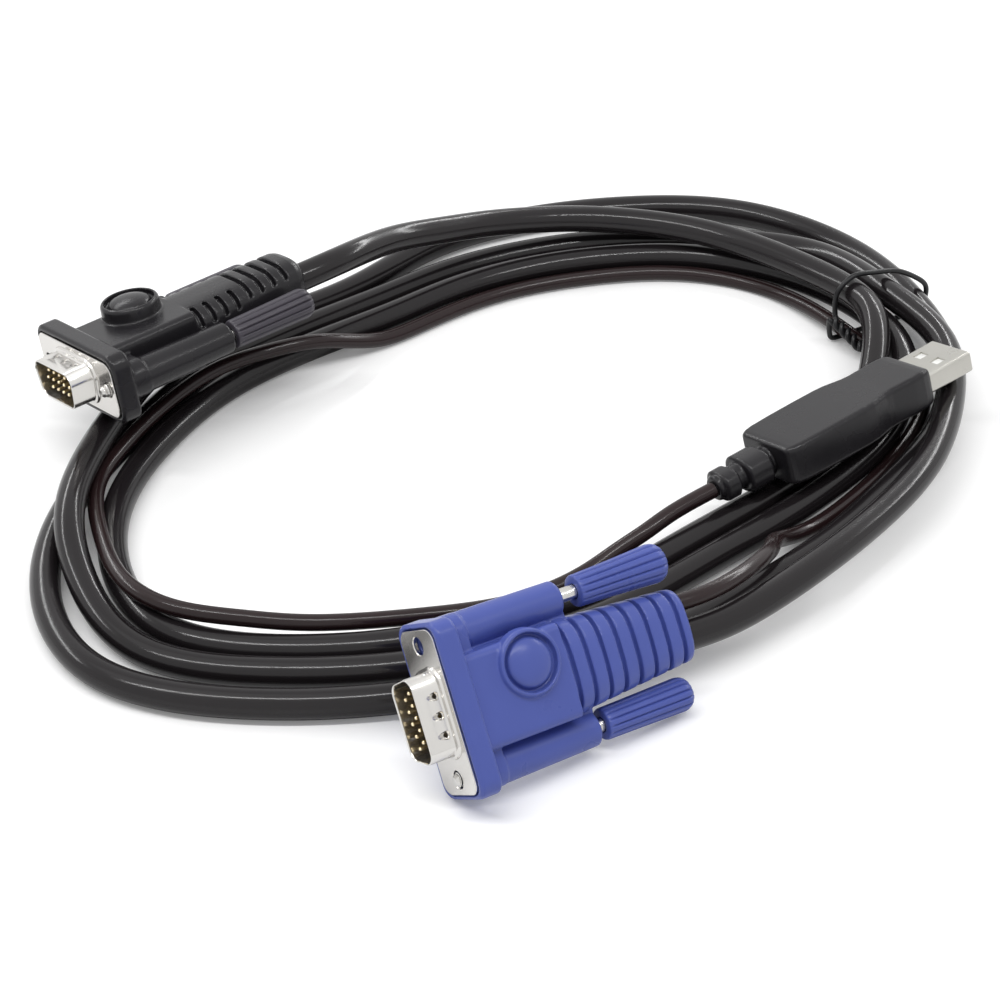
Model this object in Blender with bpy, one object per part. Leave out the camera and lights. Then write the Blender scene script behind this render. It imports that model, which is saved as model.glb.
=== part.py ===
"""Keyboard, video and mouse switch cable: two 15-pin plugs and a USB plug on one coiled cable.

The cable lies in a flat oval coil held by a wire tie.  Sizes are in millimetres and are
turned into metres where a mesh is made.  Each plug is built in its own frame, with +X out
of its nose, +Y across its width and +Z through its badge side, and is then posed by an
empty.  The origin of that frame is the middle of the plug's mating face.
"""
import math

import bmesh
import bpy
import numpy as np
from mathutils import Vector

MM = 0.001

# Clearances
SEAT_GAP = 0.3
PIN_GAP = 0.12
SCREW_GAP = 0.33

# 15-pin plug: front plate, shell and contacts.  The plate reaches past the screws.
SCREW_SPACING = 25.0
PLATE_MARGIN = 2.9
PLATE_WIDTH = SCREW_SPACING + 2 * PLATE_MARGIN
PLATE_HEIGHT = 12.5
PLATE_THICK = 0.8
PLATE_PROUD = 0.3
PLATE_CORNER = 2.4
SHELL_WIDTH = 16.9
SHELL_HEIGHT = 8.4
SHELL_LENGTH = 6.0
SHELL_WALL = 0.45
SHELL_SLOPE = math.radians(10)
SHELL_CORNER = 2.5
SHELL_ROOT = 0.8
SHELL_ROOT_LENGTH = 0.5
DIMPLE_COUNT = 3
DIMPLE_PITCH = 3.6
DIMPLE_WIDTH = 1.4
DIMPLE_DEPTH = 0.28
DIMPLE_START = 1.3
DIMPLE_END = 3.2
INSULATOR_FACE = 0.6
INSULATOR_DEPTH = 3.0
PIN_COLUMNS = 5
PIN_ROWS = 3
PIN_PITCH = 2.29
PIN_ROW_PITCH = 1.98
PIN_DIAMETER = 0.76
PIN_TIP = 5.0
PIN_TIP_TAPER = 0.5
PIN_SEATED = 2.4

# 15-pin plug: moulded hood.  The flange has a rim outside the plate.
FLANGE_SIDE_RIM = 1.1
FLANGE_TOP_RIM = 1.45
FLANGE_WIDTH = PLATE_WIDTH + 2 * FLANGE_SIDE_RIM
FLANGE_HEIGHT = PLATE_HEIGHT + 2 * FLANGE_TOP_RIM
FLANGE_THICK = 4.5
FLANGE_CORNER = 3.0
FLANGE_EDGE = 0.5
HOOD_LENGTH = 31.0
HOOD_HALF_WIDTH = 9.3
HOOD_HALF_HEIGHT = 6.5
HOOD_CORNER = 2.0
HOOD_END_EDGE = 1.0
HOOD_END_SLOPE = 1.2
BARREL_RADIUS = 4.0
BARREL_SETBACK = 1.0
BARREL_LENGTH = HOOD_LENGTH - BARREL_SETBACK
BARREL_EDGE = 0.5
BADGE_PLACE = (-15.8, -3.2)
BADGE_RADIUS = 5.9
BADGE_GROOVE_OUTER = 4.8
BADGE_GROOVE_INNER = 4.1
BADGE_GROOVE_DEPTH = 0.7
BADGE_DOME_RISE = 0.9
BLUE_BADGE_RISE = 0.6
BLACK_BADGE_RISE = 2.0
OVERLAP = 0.6

# Ribbed strain relief of the blue plug and slotted one of the black plug, from the hood's back
RIB_COUNT = 8
RIB_PITCH = 2.7
RIB_GROOVE = 0.7
RIB_DEPTH = 0.9
RIB_DRAFT = 0.12
RELIEF_EDGE = 0.5
BLUE_RELIEF_ROOT = (18.2, 12.2)
BLUE_RELIEF_END = (13.6, 9.0)
BLUE_RELIEF_TAIL = HOOD_LENGTH + 22.0
BLACK_RELIEF_ROOT = (14.0, 11.6)
BLACK_RELIEF_END = (9.6, 9.0)
BLACK_RELIEF_TAIL = HOOD_LENGTH + 23.0
SLOT_COUNT = 4
SLOT_PITCH = 2.3
SLOT_WIDTH = 0.9
SLOT_DEPTH = 1.7
SLOT_SIDE_START = HOOD_LENGTH + 1.5
SLOT_TOP_START = HOOD_LENGTH + 12.2

# Thumbscrews: how far each knob stands back from its barrel, and how far a seated screw is proud
KNOB_BACK_GAPS = {"blue_near_": 1.2, "blue_far_": 3.5, "black_near_": SEAT_GAP, "black_far_": SEAT_GAP}
KNOB_LENGTH = 19.8
KNOB_FRONT_RADIUS = 3.1
KNOB_BACK_RADIUS = 3.8
KNOB_END_ROUND = 1.6
KNOB_FLUTES = 9
KNOB_FLUTE_DEPTH = 0.45
SCREW_DIAMETER = 2.84
SCREW_PROUD = 2.3
SCREW_REACH = BARREL_LENGTH + SCREW_PROUD
SCREW_POINT = 0.5
SCREW_ROOTED = 9.0
SCREW_ROOT_GAP = 0.15
PLATE_HOLE_GAP = 0.28
PLATE_HOLE = SCREW_DIAMETER + 2 * PLATE_HOLE_GAP

# USB plug
USB_WIDTH = 12.0
USB_HEIGHT = 4.5
USB_LENGTH = 12.0
USB_WALL = 0.35
USB_BURIED = 6.0
USB_CORNER = 0.6
USB_WINDOW = 2.4
USB_WINDOW_FRONT = 6.9
USB_WINDOW_SIDE = 2.6
USB_TONGUE_THICK = 1.7
USB_TONGUE_FRONT = 11.4
USB_CONTACTS = 4
USB_CONTACT_PITCH = 2.33
USB_CONTACT_WIDTH = 1.1
USB_CONTACT_THICK = 0.25
USB_CONTACT_FRONT = 10.6
USB_CONTACT_LENGTH = 8.0
USB_BODY_CORNER = 1.5
USB_BODY_PROFILE = ((0.0, 14.4, 7.9), (-0.6, 15.4, 8.6), (-9.0, 15.2, 8.6), (-13.5, 15.0, 8.6),
                    (-18.5, 16.4, 8.7), (-24.0, 16.8, 8.8), (-34.0, 16.8, 8.8), (-40.0, 15.8, 8.6),
                    (-42.6, 14.0, 8.2), (-44.0, 11.0, 7.4))
USB_NECK_RADIUS = 2.7
USB_NECK_TAIL = 54.6
USB_COLLARS = ((-45.4, -48.6, 9.6, 7.2), (-50.2, -53.6, 8.0, 6.4))
USB_COLLAR_CORNER = 2.4

# Cables and tie
CABLE_DIAMETER = 6.2
LEAD_DIAMETER = 3.4
CABLE_EXIT = 2.4
LEAD_EXIT = -3.9
CABLE_STRAIGHT = 12.7
LEAD_STRAIGHT = 10.7
TIE_DIAMETER = 1.2

# Poses of the three plugs: place of the mating face, heading, nose-up pitch and roll
BLUE_PLACE = (-11.93, -75.35, 17.1)
BLUE_TURN = (-146.5, 3.5, -53.8)
BLACK_PLACE = (-88.79, 28.13, 21.3)
BLACK_TURN = (-141.7, -2.5, 12.2)
USB_PLACE = (85.92, 34.57, 16.0)
USB_TURN = (36.7, 5.8, -15.2)

# The coil: each point is an angle about its middle in degrees, a radius and a height
COIL_MIDDLE = (2.9, 32.98)
SPOKES = 22
COIL_TILT = math.radians(40)
COIL_FLATNESS = 0.6
CABLE_ROUTE = (
    # From the black plug, down over the top side of the coil to the tie
    (119, 58.5, 20.8), (106, 63.3, 17.6), (95, 69.5, 14.6), (86, 74.5, 12.6), (77, 79.0, 11.2),
    (61, 83.8, 10.5), (45, 85.5, 10.8), (30, 87.3, 11.5), (22, 85.2, 11.6), (13, 79.6, 8.8),
    # First lap, the innermost one at the front
    (0, 71.0, 4.4), (345, 61.0, 3.3), (330, 54.5, 3.3), (315, 51.8, 3.3), (300, 53.0, 3.3),
    (285, 57.5, 3.3), (270, 63.5, 3.3), (255, 73.0, 3.3), (240, 85.0, 3.3), (225, 96.0, 3.3),
    (210, 93.5, 3.3), (195, 84.8, 3.3), (180, 74.5, 3.3), (165, 66.3, 3.3), (150, 59.5, 3.3),
    (135, 55.5, 3.3), (120, 55.3, 3.3), (105, 59.6, 3.3), (90, 66.1, 3.3), (75, 74.3, 3.3),
    (60, 84.0, 3.3), (45, 90.0, 3.9), (30, 91.0, 5.6), (15, 87.8, 7.1),
    # Second lap, which climbs over the third at the left and comes down outside it
    (0, 79.0, 4.2), (345, 68.6, 3.3), (330, 61.9, 3.3), (315, 59.0, 3.3), (300, 60.3, 3.3),
    (285, 65.2, 3.3), (270, 71.8, 3.3), (255, 81.2, 3.3), (240, 92.8, 3.3), (225, 103.6, 3.3),
    (212, 102.2, 6.2), (204, 99.0, 9.4), (195, 93.2, 10.1), (180, 84.3, 10.0), (165, 79.3, 8.7),
    (150, 74.5, 5.0), (135, 69.8, 3.3), (120, 70.6, 3.3), (105, 80.0, 3.3), (90, 89.4, 3.3),
    (75, 98.8, 3.3), (60, 108.0, 3.3), (45, 109.5, 3.4), (30, 104.0, 4.9), (15, 98.6, 4.6),
    # Third lap, the outermost one at the front, which rises to the blue plug
    (0, 89.5, 3.6), (345, 79.5, 3.3), (330, 74.3, 3.3), (315, 72.0, 3.3), (300, 72.8, 3.3),
    (285, 76.5, 3.3), (270, 82.0, 3.3), (255, 91.0, 3.3), (240, 103.2, 3.3), (225, 113.6, 3.3),
    (210, 108.5, 3.3), (195, 95.4, 3.3), (180, 82.6, 3.3), (165, 74.4, 3.3), (150, 66.9, 3.3),
    (135, 62.7, 3.3), (120, 62.6, 3.3), (105, 67.2, 3.3), (90, 73.9, 3.3), (75, 82.3, 3.3),
    (60, 92.5, 3.4), (45, 98.0, 6.5), (30, 95.2, 10.2), (15, 96.0, 11.2), (0, 91.5, 11.0),
    (345, 86.6, 10.8), (330, 82.4, 11.0), (315, 81.5, 11.4),
)
LEAD_ROUTE = (
    # From the blue plug down between two laps and under the tie
    (312, 72.8, 12.2), (320, 66.9, 6.6), (330, 67.6, 2.3), (345, 74.2, 1.9), (0, 83.7, 1.9),
    (12, 90.6, 1.9), (20, 88.0, 1.9), (30, 84.3, 3.3), (45, 84.3, 1.9), (60, 78.2, 1.9),
    # Along the inside of the coil at the back
    (75, 68.4, 1.9), (90, 60.4, 1.9), (105, 53.8, 1.9), (120, 49.6, 1.9), (129, 49.3, 2.4),
    (138, 50.6, 4.8), (148, 54.0, 7.9), (157, 60.2, 8.6), (167, 68.2, 8.9), (178, 77.0, 7.3),
    # Over the inner laps at the left and back inside them at the front
    (187, 83.6, 7.1), (195, 89.9, 6.5), (207, 94.1, 7.7), (217, 97.0, 8.4), (225, 94.8, 8.5),
    (232, 88.0, 7.8), (240, 79.8, 6.4), (255, 67.0, 4.8), (270, 57.8, 3.0), (284, 51.6, 3.6),
    (293, 49.4, 5.8), (301, 48.9, 8.0),
)
# The tie lies in the upright plane through this angle: radius and height of its corners
TIE_ANGLE = 30
TIE_ROUTE = ((81.5, 2.6), (82.2, 1.1), (84.4, 0.75), (96.0, 0.75), (103.6, 0.8), (107.6, 2.6), (108.3, 6.4),
             (105.6, 9.6), (99.6, 13.4), (95.4, 14.6), (90.6, 15.6), (86.6, 15.8), (83.2, 13.4),
             (82.4, 9.6))
TIE_TWIST_START = (81.4, 5.6)
TIE_TWIST_LENGTH = 11.0
TIE_TWIST_TURNS = 2.5
TIE_TWIST_RADIUS = 0.78

# Facets
ROUND_STEPS = 20
SCREW_STEPS = 12
SMALL_STEPS = 8
CORNER_STEPS = 4


def material(name, colour, roughness, metallic=0.0):
    """A Principled material of one colour."""
    made = bpy.data.materials.new(name)
    made.use_nodes = True
    shader = made.node_tree.nodes["Principled BSDF"]
    shader.inputs["Base Color"].default_value = (*colour, 1.0)
    shader.inputs["Roughness"].default_value = roughness
    shader.inputs["Metallic"].default_value = metallic
    return made


def add_object(name, mesh_builder, finish, smooth_angle=35):
    """An object from a finished bmesh in millimetres."""
    bmesh.ops.recalc_face_normals(mesh_builder, faces=mesh_builder.faces)
    bmesh.ops.scale(mesh_builder, vec=(MM, MM, MM), verts=mesh_builder.verts)
    mesh = bpy.data.meshes.new(name)
    mesh_builder.to_mesh(mesh)
    mesh_builder.free()
    mesh.shade_smooth()
    mesh.set_sharp_from_angle(angle=math.radians(smooth_angle))
    mesh.materials.append(finish)
    made = bpy.data.objects.new(name, mesh)
    bpy.context.scene.collection.objects.link(made)
    return made


def fillet(corners, radius, steps=CORNER_STEPS):
    """A convex outline with each corner replaced by an arc."""
    points = []
    count = len(corners)
    for index, corner in enumerate(corners):
        here = Vector(corner)
        to_last = (Vector(corners[index - 1]) - here).normalized()
        to_next = (Vector(corners[(index + 1) % count]) - here).normalized()
        half = to_last.angle(to_next) / 2
        centre = here + (to_last + to_next).normalized() * (radius / math.sin(half))
        start = here + to_last * (radius / math.tan(half)) - centre
        turn = math.pi - 2 * half
        for step in range(steps + 1):
            angle = turn * step / steps
            spun = (start.x * math.cos(angle) - start.y * math.sin(angle),
                    start.x * math.sin(angle) + start.y * math.cos(angle))
            points.append((centre.x + spun[0], centre.y + spun[1]))
    return points


def box_outline(width, height, radius):
    """A rounded rectangle in the YZ plane."""
    radius = min(radius, 0.499 * min(width, height))
    half_width = width / 2
    half_height = height / 2
    return fillet([(half_width, -half_height), (half_width, half_height),
                   (-half_width, half_height), (-half_width, -half_height)], radius)


def shell_outline(grow):
    """The D outline, wide on the badge side, moved out by grow."""
    half_height = SHELL_HEIGHT / 2 + grow
    lean = math.tan(SHELL_SLOPE)
    half_top = SHELL_WIDTH / 2 + grow
    half_bottom = half_top - 2 * half_height * lean
    return fillet([(half_bottom, -half_height), (half_top, half_height),
                   (-half_top, half_height), (-half_bottom, -half_height)], SHELL_CORNER + grow)


def circle(radius, steps=ROUND_STEPS, centre=(0, 0)):
    """A circle in the YZ plane."""
    return [(centre[0] + radius * math.cos(2 * math.pi * step / steps),
             centre[1] + radius * math.sin(2 * math.pi * step / steps)) for step in range(steps)]


def moved(outline, shift_y, shift_z=0.0):
    """An outline shifted in its plane."""
    return [(y + shift_y, z + shift_z) for y, z in outline]


def loft(name, sections, finish, smooth_angle=35):
    """A closed solid through outlines of equal count, each at its own X."""
    builder = bmesh.new()
    rings = [[builder.verts.new((x, y, z)) for y, z in outline] for x, outline in sections]
    for last, ring in zip(rings[:-1], rings[1:]):
        for index in range(len(ring)):
            after = (index + 1) % len(ring)
            builder.faces.new((last[index], last[after], ring[after], ring[index]))
    builder.faces.new(rings[0])
    builder.faces.new(reversed(rings[-1]))
    return add_object(name, builder, finish, smooth_angle)


def prism(name, start, end, outline, finish):
    """A straight solid between two X values."""
    return loft(name, [(start, outline), (end, outline)], finish)


def turned(name, profile, place, finish):
    """A solid of revolution about Z from (radius, z) points, its ends on the axis."""
    builder = bmesh.new()
    rings = []
    for radius, height in profile:
        if radius == 0:
            rings.append([builder.verts.new((place[0], place[1], height))])
        else:
            rings.append([builder.verts.new((place[0] + x, place[1] + y, height))
                          for x, y in circle(radius, ROUND_STEPS)])
    for last, ring in zip(rings[:-1], rings[1:]):
        for index in range(ROUND_STEPS):
            after = (index + 1) % ROUND_STEPS
            corners = []
            for loop, place_index in ((last, index), (last, after), (ring, after), (ring, index)):
                corner = loop[place_index % len(loop)]
                if corner not in corners:
                    corners.append(corner)
            builder.faces.new(corners)
    return add_object(name, builder, finish)


def grouped(name, pieces):
    """One cutter from several that don't touch."""
    builder = bmesh.new()
    for piece in pieces:
        builder.from_mesh(piece.data)
        bpy.data.objects.remove(piece, do_unlink=True)
    mesh = bpy.data.meshes.new(name)
    builder.to_mesh(mesh)
    builder.free()
    made = bpy.data.objects.new(name, mesh)
    bpy.context.scene.collection.objects.link(made)
    return made


def combine(target, tool, operation):
    """Join a tool to a target or cut it out, and hide the tool."""
    step = target.modifiers.new(operation.title() + " " + tool.name, "BOOLEAN")
    step.operation = operation
    step.solver = "EXACT"
    step.object = tool
    tool.hide_render = True
    tool.display_type = "WIRE"


def pose_frame(name, place, turn):
    """An empty with a plug's place, heading, pitch and roll."""
    frame = bpy.data.objects.new(name, None)
    bpy.context.scene.collection.objects.link(frame)
    frame.location = [value * MM for value in place]
    heading, pitch, roll = (math.radians(value) for value in turn)
    frame.rotation_euler = (roll, -pitch, heading)
    return frame


def in_plug(frame, x, y, z=0.0):
    """World position, in millimetres, of a point given in a plug's frame."""
    moved_point = frame.rotation_euler.to_matrix() @ Vector((x, y, z))
    return moved_point + frame.location / MM


def attach(frame, *pieces):
    """Hang pieces on a frame without moving them in it."""
    for piece in pieces:
        piece.parent = frame


def front_shell(prefix, steel):
    """Stamped plate and D collar in one piece, with its dimples and screw holes."""
    back = PLATE_PROUD - PLATE_THICK
    shell = prism(prefix + "front_shell", back, PLATE_PROUD,
                  box_outline(PLATE_WIDTH, PLATE_HEIGHT, PLATE_CORNER), steel)
    root = prism(prefix + "shell_root", 0, PLATE_PROUD + SHELL_ROOT_LENGTH,
                 shell_outline(SHELL_ROOT), steel)
    combine(shell, root, "UNION")
    collar = loft(prefix + "shell_collar",
                  [(back / 2, shell_outline(0)), (SHELL_LENGTH - 0.15, shell_outline(0)),
                   (SHELL_LENGTH, shell_outline(-0.12))], steel)
    combine(shell, collar, "UNION")
    hollow = prism(prefix + "shell_hollow", back - 1, SHELL_LENGTH + 1, shell_outline(-SHELL_WALL), steel)
    combine(shell, hollow, "DIFFERENCE")
    dents = []
    top = SHELL_HEIGHT / 2
    for index in range(DIMPLE_COUNT):
        middle = (index - (DIMPLE_COUNT - 1) / 2) * DIMPLE_PITCH
        half = DIMPLE_WIDTH / 2
        above = [(middle + half, top + 1), (middle - half, top + 1)]
        deep_floor = top - DIMPLE_DEPTH
        deep = [(middle - half, deep_floor), (middle + half, deep_floor), *above]
        narrow = DIMPLE_WIDTH / 3
        shallow_floor = top - DIMPLE_DEPTH / 6
        shallow = [(middle - narrow, shallow_floor), (middle + narrow, shallow_floor), *above]
        dents.append(loft(prefix + "dent", [(DIMPLE_START, deep), (DIMPLE_END, shallow)], steel))
    dimples = grouped(prefix + "dimples", dents)
    combine(shell, dimples, "DIFFERENCE")
    holes = grouped(prefix + "plate_holes",
                    [prism(prefix + "plate_hole", back - 1, PLATE_PROUD + 1,
                           circle(PLATE_HOLE / 2, ROUND_STEPS, (side * SCREW_SPACING / 2, 0)), steel)
                     for side in (-1, 1)])
    combine(shell, holes, "DIFFERENCE")
    return shell, [root, collar, hollow, dimples, holes]


def pin_places():
    """Y and Z of the fifteen contacts: three rows, the middle one staggered."""
    for row in range(PIN_ROWS):
        stagger = PIN_PITCH / 2 if row % 2 else 0.0
        for column in range(PIN_COLUMNS):
            across = (column - (PIN_COLUMNS - 1) / 2) * PIN_PITCH - stagger + PIN_PITCH / 4
            yield across, ((PIN_ROWS - 1) / 2 - row) * PIN_ROW_PITCH


def contacts(prefix, plastic, gold):
    """The insulator with its fifteen seated pins."""
    back = INSULATOR_FACE - INSULATOR_DEPTH - PIN_GAP * 4
    insulator = prism(prefix + "insulator", back, INSULATOR_FACE,
                      shell_outline(-SHELL_WALL - SEAT_GAP), plastic)
    holes = []
    pins = []
    radius = PIN_DIAMETER / 2
    seat = INSULATOR_FACE - PIN_SEATED
    for number, place in enumerate(pin_places(), 1):
        holes.append(prism(prefix + "pin_hole", seat - SEAT_GAP, INSULATOR_FACE + 1,
                           circle(radius + PIN_GAP, SMALL_STEPS, place), plastic))
        shank = circle(radius, SMALL_STEPS, place)
        tip = circle(radius / 2, SMALL_STEPS, place)
        pins.append(loft(prefix + "pin_%02d" % number,
                         [(seat, shank), (PIN_TIP - PIN_TIP_TAPER, shank), (PIN_TIP, tip)], gold))
    pin_holes = grouped(prefix + "pin_holes", holes)
    combine(insulator, pin_holes, "DIFFERENCE")
    return insulator, pins, [pin_holes]


def ribbed_relief(prefix, plastic):
    """The blue plug's tapered relief, with a groove between each two ribs."""
    start = -HOOD_LENGTH + OVERLAP
    end = -BLUE_RELIEF_TAIL

    def outline(x, inset):
        along = (x - start) / (end - start)
        width = BLUE_RELIEF_ROOT[0] + along * (BLUE_RELIEF_END[0] - BLUE_RELIEF_ROOT[0]) - 2 * inset
        height = BLUE_RELIEF_ROOT[1] + along * (BLUE_RELIEF_END[1] - BLUE_RELIEF_ROOT[1]) - 2 * inset
        return box_outline(width, height, 0.46 * height)

    sections = [(start, outline(start, 0))]
    for index in range(RIB_COUNT):
        front = end + (RIB_COUNT - index) * RIB_PITCH
        back = front - RIB_GROOVE
        sections += [(front, outline(front, 0)), (front - RIB_DRAFT, outline(front, RIB_DEPTH)),
                     (back + RIB_DRAFT, outline(back, RIB_DEPTH)), (back, outline(back, 0))]
    sections += [(end + RELIEF_EDGE, outline(end, 0)), (end, outline(end, RELIEF_EDGE))]
    return loft(prefix + "relief", sections, plastic, 25), []


def slotted_relief(prefix, plastic):
    """The black plug's smooth relief, with slots in its side and then in its top."""
    start = -HOOD_LENGTH + OVERLAP
    end = -BLACK_RELIEF_TAIL
    root = box_outline(*BLACK_RELIEF_ROOT, 0.42 * BLACK_RELIEF_ROOT[1])
    tail = box_outline(*BLACK_RELIEF_END, 0.46 * BLACK_RELIEF_END[1])
    small = box_outline(BLACK_RELIEF_END[0] - 1.2, BLACK_RELIEF_END[1] - 1.2, 0.4 * BLACK_RELIEF_END[1])
    relief = loft(prefix + "relief", [(start, root), (end + 0.8, tail), (end, small)], plastic)
    slots = []
    for first, side in ((SLOT_SIDE_START, 1), (SLOT_SIDE_START, -1), (SLOT_TOP_START, 0)):
        for index in range(SLOT_COUNT):
            front = -first - index * SLOT_PITCH
            along = (front - start) / (end - start)
            width = BLACK_RELIEF_ROOT[0] + along * (BLACK_RELIEF_END[0] - BLACK_RELIEF_ROOT[0])
            height = BLACK_RELIEF_ROOT[1] + along * (BLACK_RELIEF_END[1] - BLACK_RELIEF_ROOT[1])
            if side:
                reach = moved(box_outline(4, height * 0.8, 1.0),
                              side * (width / 2 + 2 - SLOT_DEPTH), 1.5)
            else:
                reach = moved(box_outline(width * 0.8, 4, 1.0), 0, height / 2 + 2 - SLOT_DEPTH)
            slots.append(prism(prefix + "slot", front - SLOT_WIDTH, front, reach, plastic))
    return relief, slots


def hood(prefix, plastic, relief_maker, badge_rise):
    """The moulded hood: flange, body, screw barrels, badge and strain relief in one piece."""
    edge = FLANGE_EDGE
    small = box_outline(FLANGE_WIDTH - 2 * edge, FLANGE_HEIGHT - 2 * edge, FLANGE_CORNER - edge)
    full = box_outline(FLANGE_WIDTH, FLANGE_HEIGHT, FLANGE_CORNER)
    body = loft(prefix + "hood", [(-FLANGE_THICK, small), (edge - FLANGE_THICK, full), (-edge, full),
                                  (0, small)], plastic, 25)
    block_outline = box_outline(2 * HOOD_HALF_WIDTH, 2 * HOOD_HALF_HEIGHT, HOOD_CORNER)
    end_outline = box_outline(2 * (HOOD_HALF_WIDTH - HOOD_END_EDGE), 2 * (HOOD_HALF_HEIGHT - HOOD_END_EDGE),
                              HOOD_CORNER)
    block = loft(prefix + "block", [(-HOOD_LENGTH, end_outline), (HOOD_END_SLOPE - HOOD_LENGTH, block_outline),
                                    (OVERLAP - FLANGE_THICK, block_outline)], plastic)
    tools = [block]
    combine(body, block, "UNION")
    for side in (-1, 1):
        middle = (side * SCREW_SPACING / 2, 0)
        barrel = loft(prefix + "barrel",
                      [(-BARREL_LENGTH, circle(BARREL_RADIUS - BARREL_EDGE, ROUND_STEPS, middle)),
                       (BARREL_EDGE - BARREL_LENGTH, circle(BARREL_RADIUS, ROUND_STEPS, middle)),
                       (OVERLAP - FLANGE_THICK, circle(BARREL_RADIUS, ROUND_STEPS, middle))], plastic)
        combine(body, barrel, "UNION")
        tools.append(barrel)
    relief, slots = relief_maker(prefix, plastic)
    combine(body, relief, "UNION")
    rim = HOOD_HALF_HEIGHT + badge_rise
    floor = rim - BADGE_GROOVE_DEPTH
    badge = turned(prefix + "badge",
                   [(0, HOOD_HALF_HEIGHT - OVERLAP), (BADGE_RADIUS, HOOD_HALF_HEIGHT - OVERLAP),
                    (BADGE_RADIUS, rim - 0.3), (BADGE_RADIUS - 0.3, rim), (BADGE_GROOVE_OUTER, rim),
                    (BADGE_GROOVE_OUTER, floor), (BADGE_GROOVE_INNER, floor), (BADGE_GROOVE_INNER, rim),
                    (BADGE_GROOVE_INNER * 0.8, rim + BADGE_DOME_RISE * 0.55),
                    (BADGE_GROOVE_INNER * 0.45, rim + BADGE_DOME_RISE * 0.9), (0, rim + BADGE_DOME_RISE)],
                   BADGE_PLACE, plastic)
    combine(body, badge, "UNION")
    tools += [relief, badge]
    if slots:
        slot_group = grouped(prefix + "slots", slots)
        combine(body, slot_group, "DIFFERENCE")
        tools.append(slot_group)
    recess = prism(prefix + "plate_recess", PLATE_PROUD - PLATE_THICK - SEAT_GAP, 1,
                   box_outline(PLATE_WIDTH + 2 * SEAT_GAP, PLATE_HEIGHT + 2 * SEAT_GAP, PLATE_CORNER), plastic)
    pocket_floor = INSULATOR_FACE - INSULATOR_DEPTH - PIN_GAP * 4 - SEAT_GAP
    pocket = prism(prefix + "insulator_pocket", pocket_floor, 1, shell_outline(0), plastic)
    bore_radius = SCREW_DIAMETER / 2 + SCREW_GAP
    bores = grouped(prefix + "barrel_bores",
                    [prism(prefix + "barrel_bore", -BARREL_LENGTH - 1, 1,
                           circle(bore_radius, ROUND_STEPS, (side * SCREW_SPACING / 2, 0)), plastic)
                     for side in (-1, 1)])
    for tool in (recess, pocket, bores):
        combine(body, tool, "DIFFERENCE")
        tools.append(tool)
    return body, tools


def flute_outline(radius):
    """A round outline with long shallow flutes."""
    steps = KNOB_FLUTES * 4
    points = []
    for step in range(steps):
        cut = KNOB_FLUTE_DEPTH * (step % 4 == 2)
        angle = 2 * math.pi * step / steps
        points.append(((radius - cut) * math.cos(angle), (radius - cut) * math.sin(angle)))
    return points


def thumbscrew(prefix, frame, side, plastic, steel):
    """A fluted knob moulded on a steel screw; the axis is the object's own X axis."""
    axis = bpy.data.objects.new(prefix + "axis", None)
    bpy.context.scene.collection.objects.link(axis)
    axis.parent = frame
    front = -BARREL_LENGTH - KNOB_BACK_GAPS[prefix]
    axis.location = (front * MM, side * SCREW_SPACING / 2 * MM, 0)
    profile = ((0.0, KNOB_FRONT_RADIUS - 0.3), (0.3, KNOB_FRONT_RADIUS), (4.0, KNOB_FRONT_RADIUS + 0.1),
               (13.0, KNOB_BACK_RADIUS - 0.1), (KNOB_LENGTH - KNOB_END_ROUND, KNOB_BACK_RADIUS),
               (KNOB_LENGTH - 0.4 * KNOB_END_ROUND, KNOB_BACK_RADIUS - 0.4), (KNOB_LENGTH, KNOB_BACK_RADIUS - 1.4))
    knob = loft(prefix + "knob", [(-back, flute_outline(radius)) for back, radius in reversed(profile)],
                plastic, 50)
    radius = SCREW_DIAMETER / 2
    socket = prism(prefix + "socket", -SCREW_ROOTED - SEAT_GAP, 1,
                   circle(radius + SCREW_ROOT_GAP, SCREW_STEPS), plastic)
    combine(knob, socket, "DIFFERENCE")
    shank = circle(radius, SCREW_STEPS)
    screw = loft(prefix + "screw", [(-SCREW_ROOTED, shank), (SCREW_REACH - 1.2 * SCREW_POINT, shank),
                                    (SCREW_REACH, circle(radius - SCREW_POINT, SCREW_STEPS))], steel)
    attach(axis, knob, socket, screw)


def video_plug(prefix, place, turn, plastic, knob_plastic, relief_maker, badge_rise, metals):
    """One 15-pin plug with its two thumbscrews."""
    nickel, gold, dark = metals
    frame = pose_frame(prefix + "plug", place, turn)
    body, tools = hood(prefix, plastic, relief_maker, badge_rise)
    shell, shell_tools = front_shell(prefix, nickel)
    insulator, pins, pin_tools = contacts(prefix, dark, gold)
    attach(frame, body, shell, insulator, *pins, *tools, *shell_tools, *pin_tools)
    for name, side in (("near_", 1), ("far_", -1)):
        thumbscrew(prefix + name, frame, side, knob_plastic, nickel)
    return frame


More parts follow.
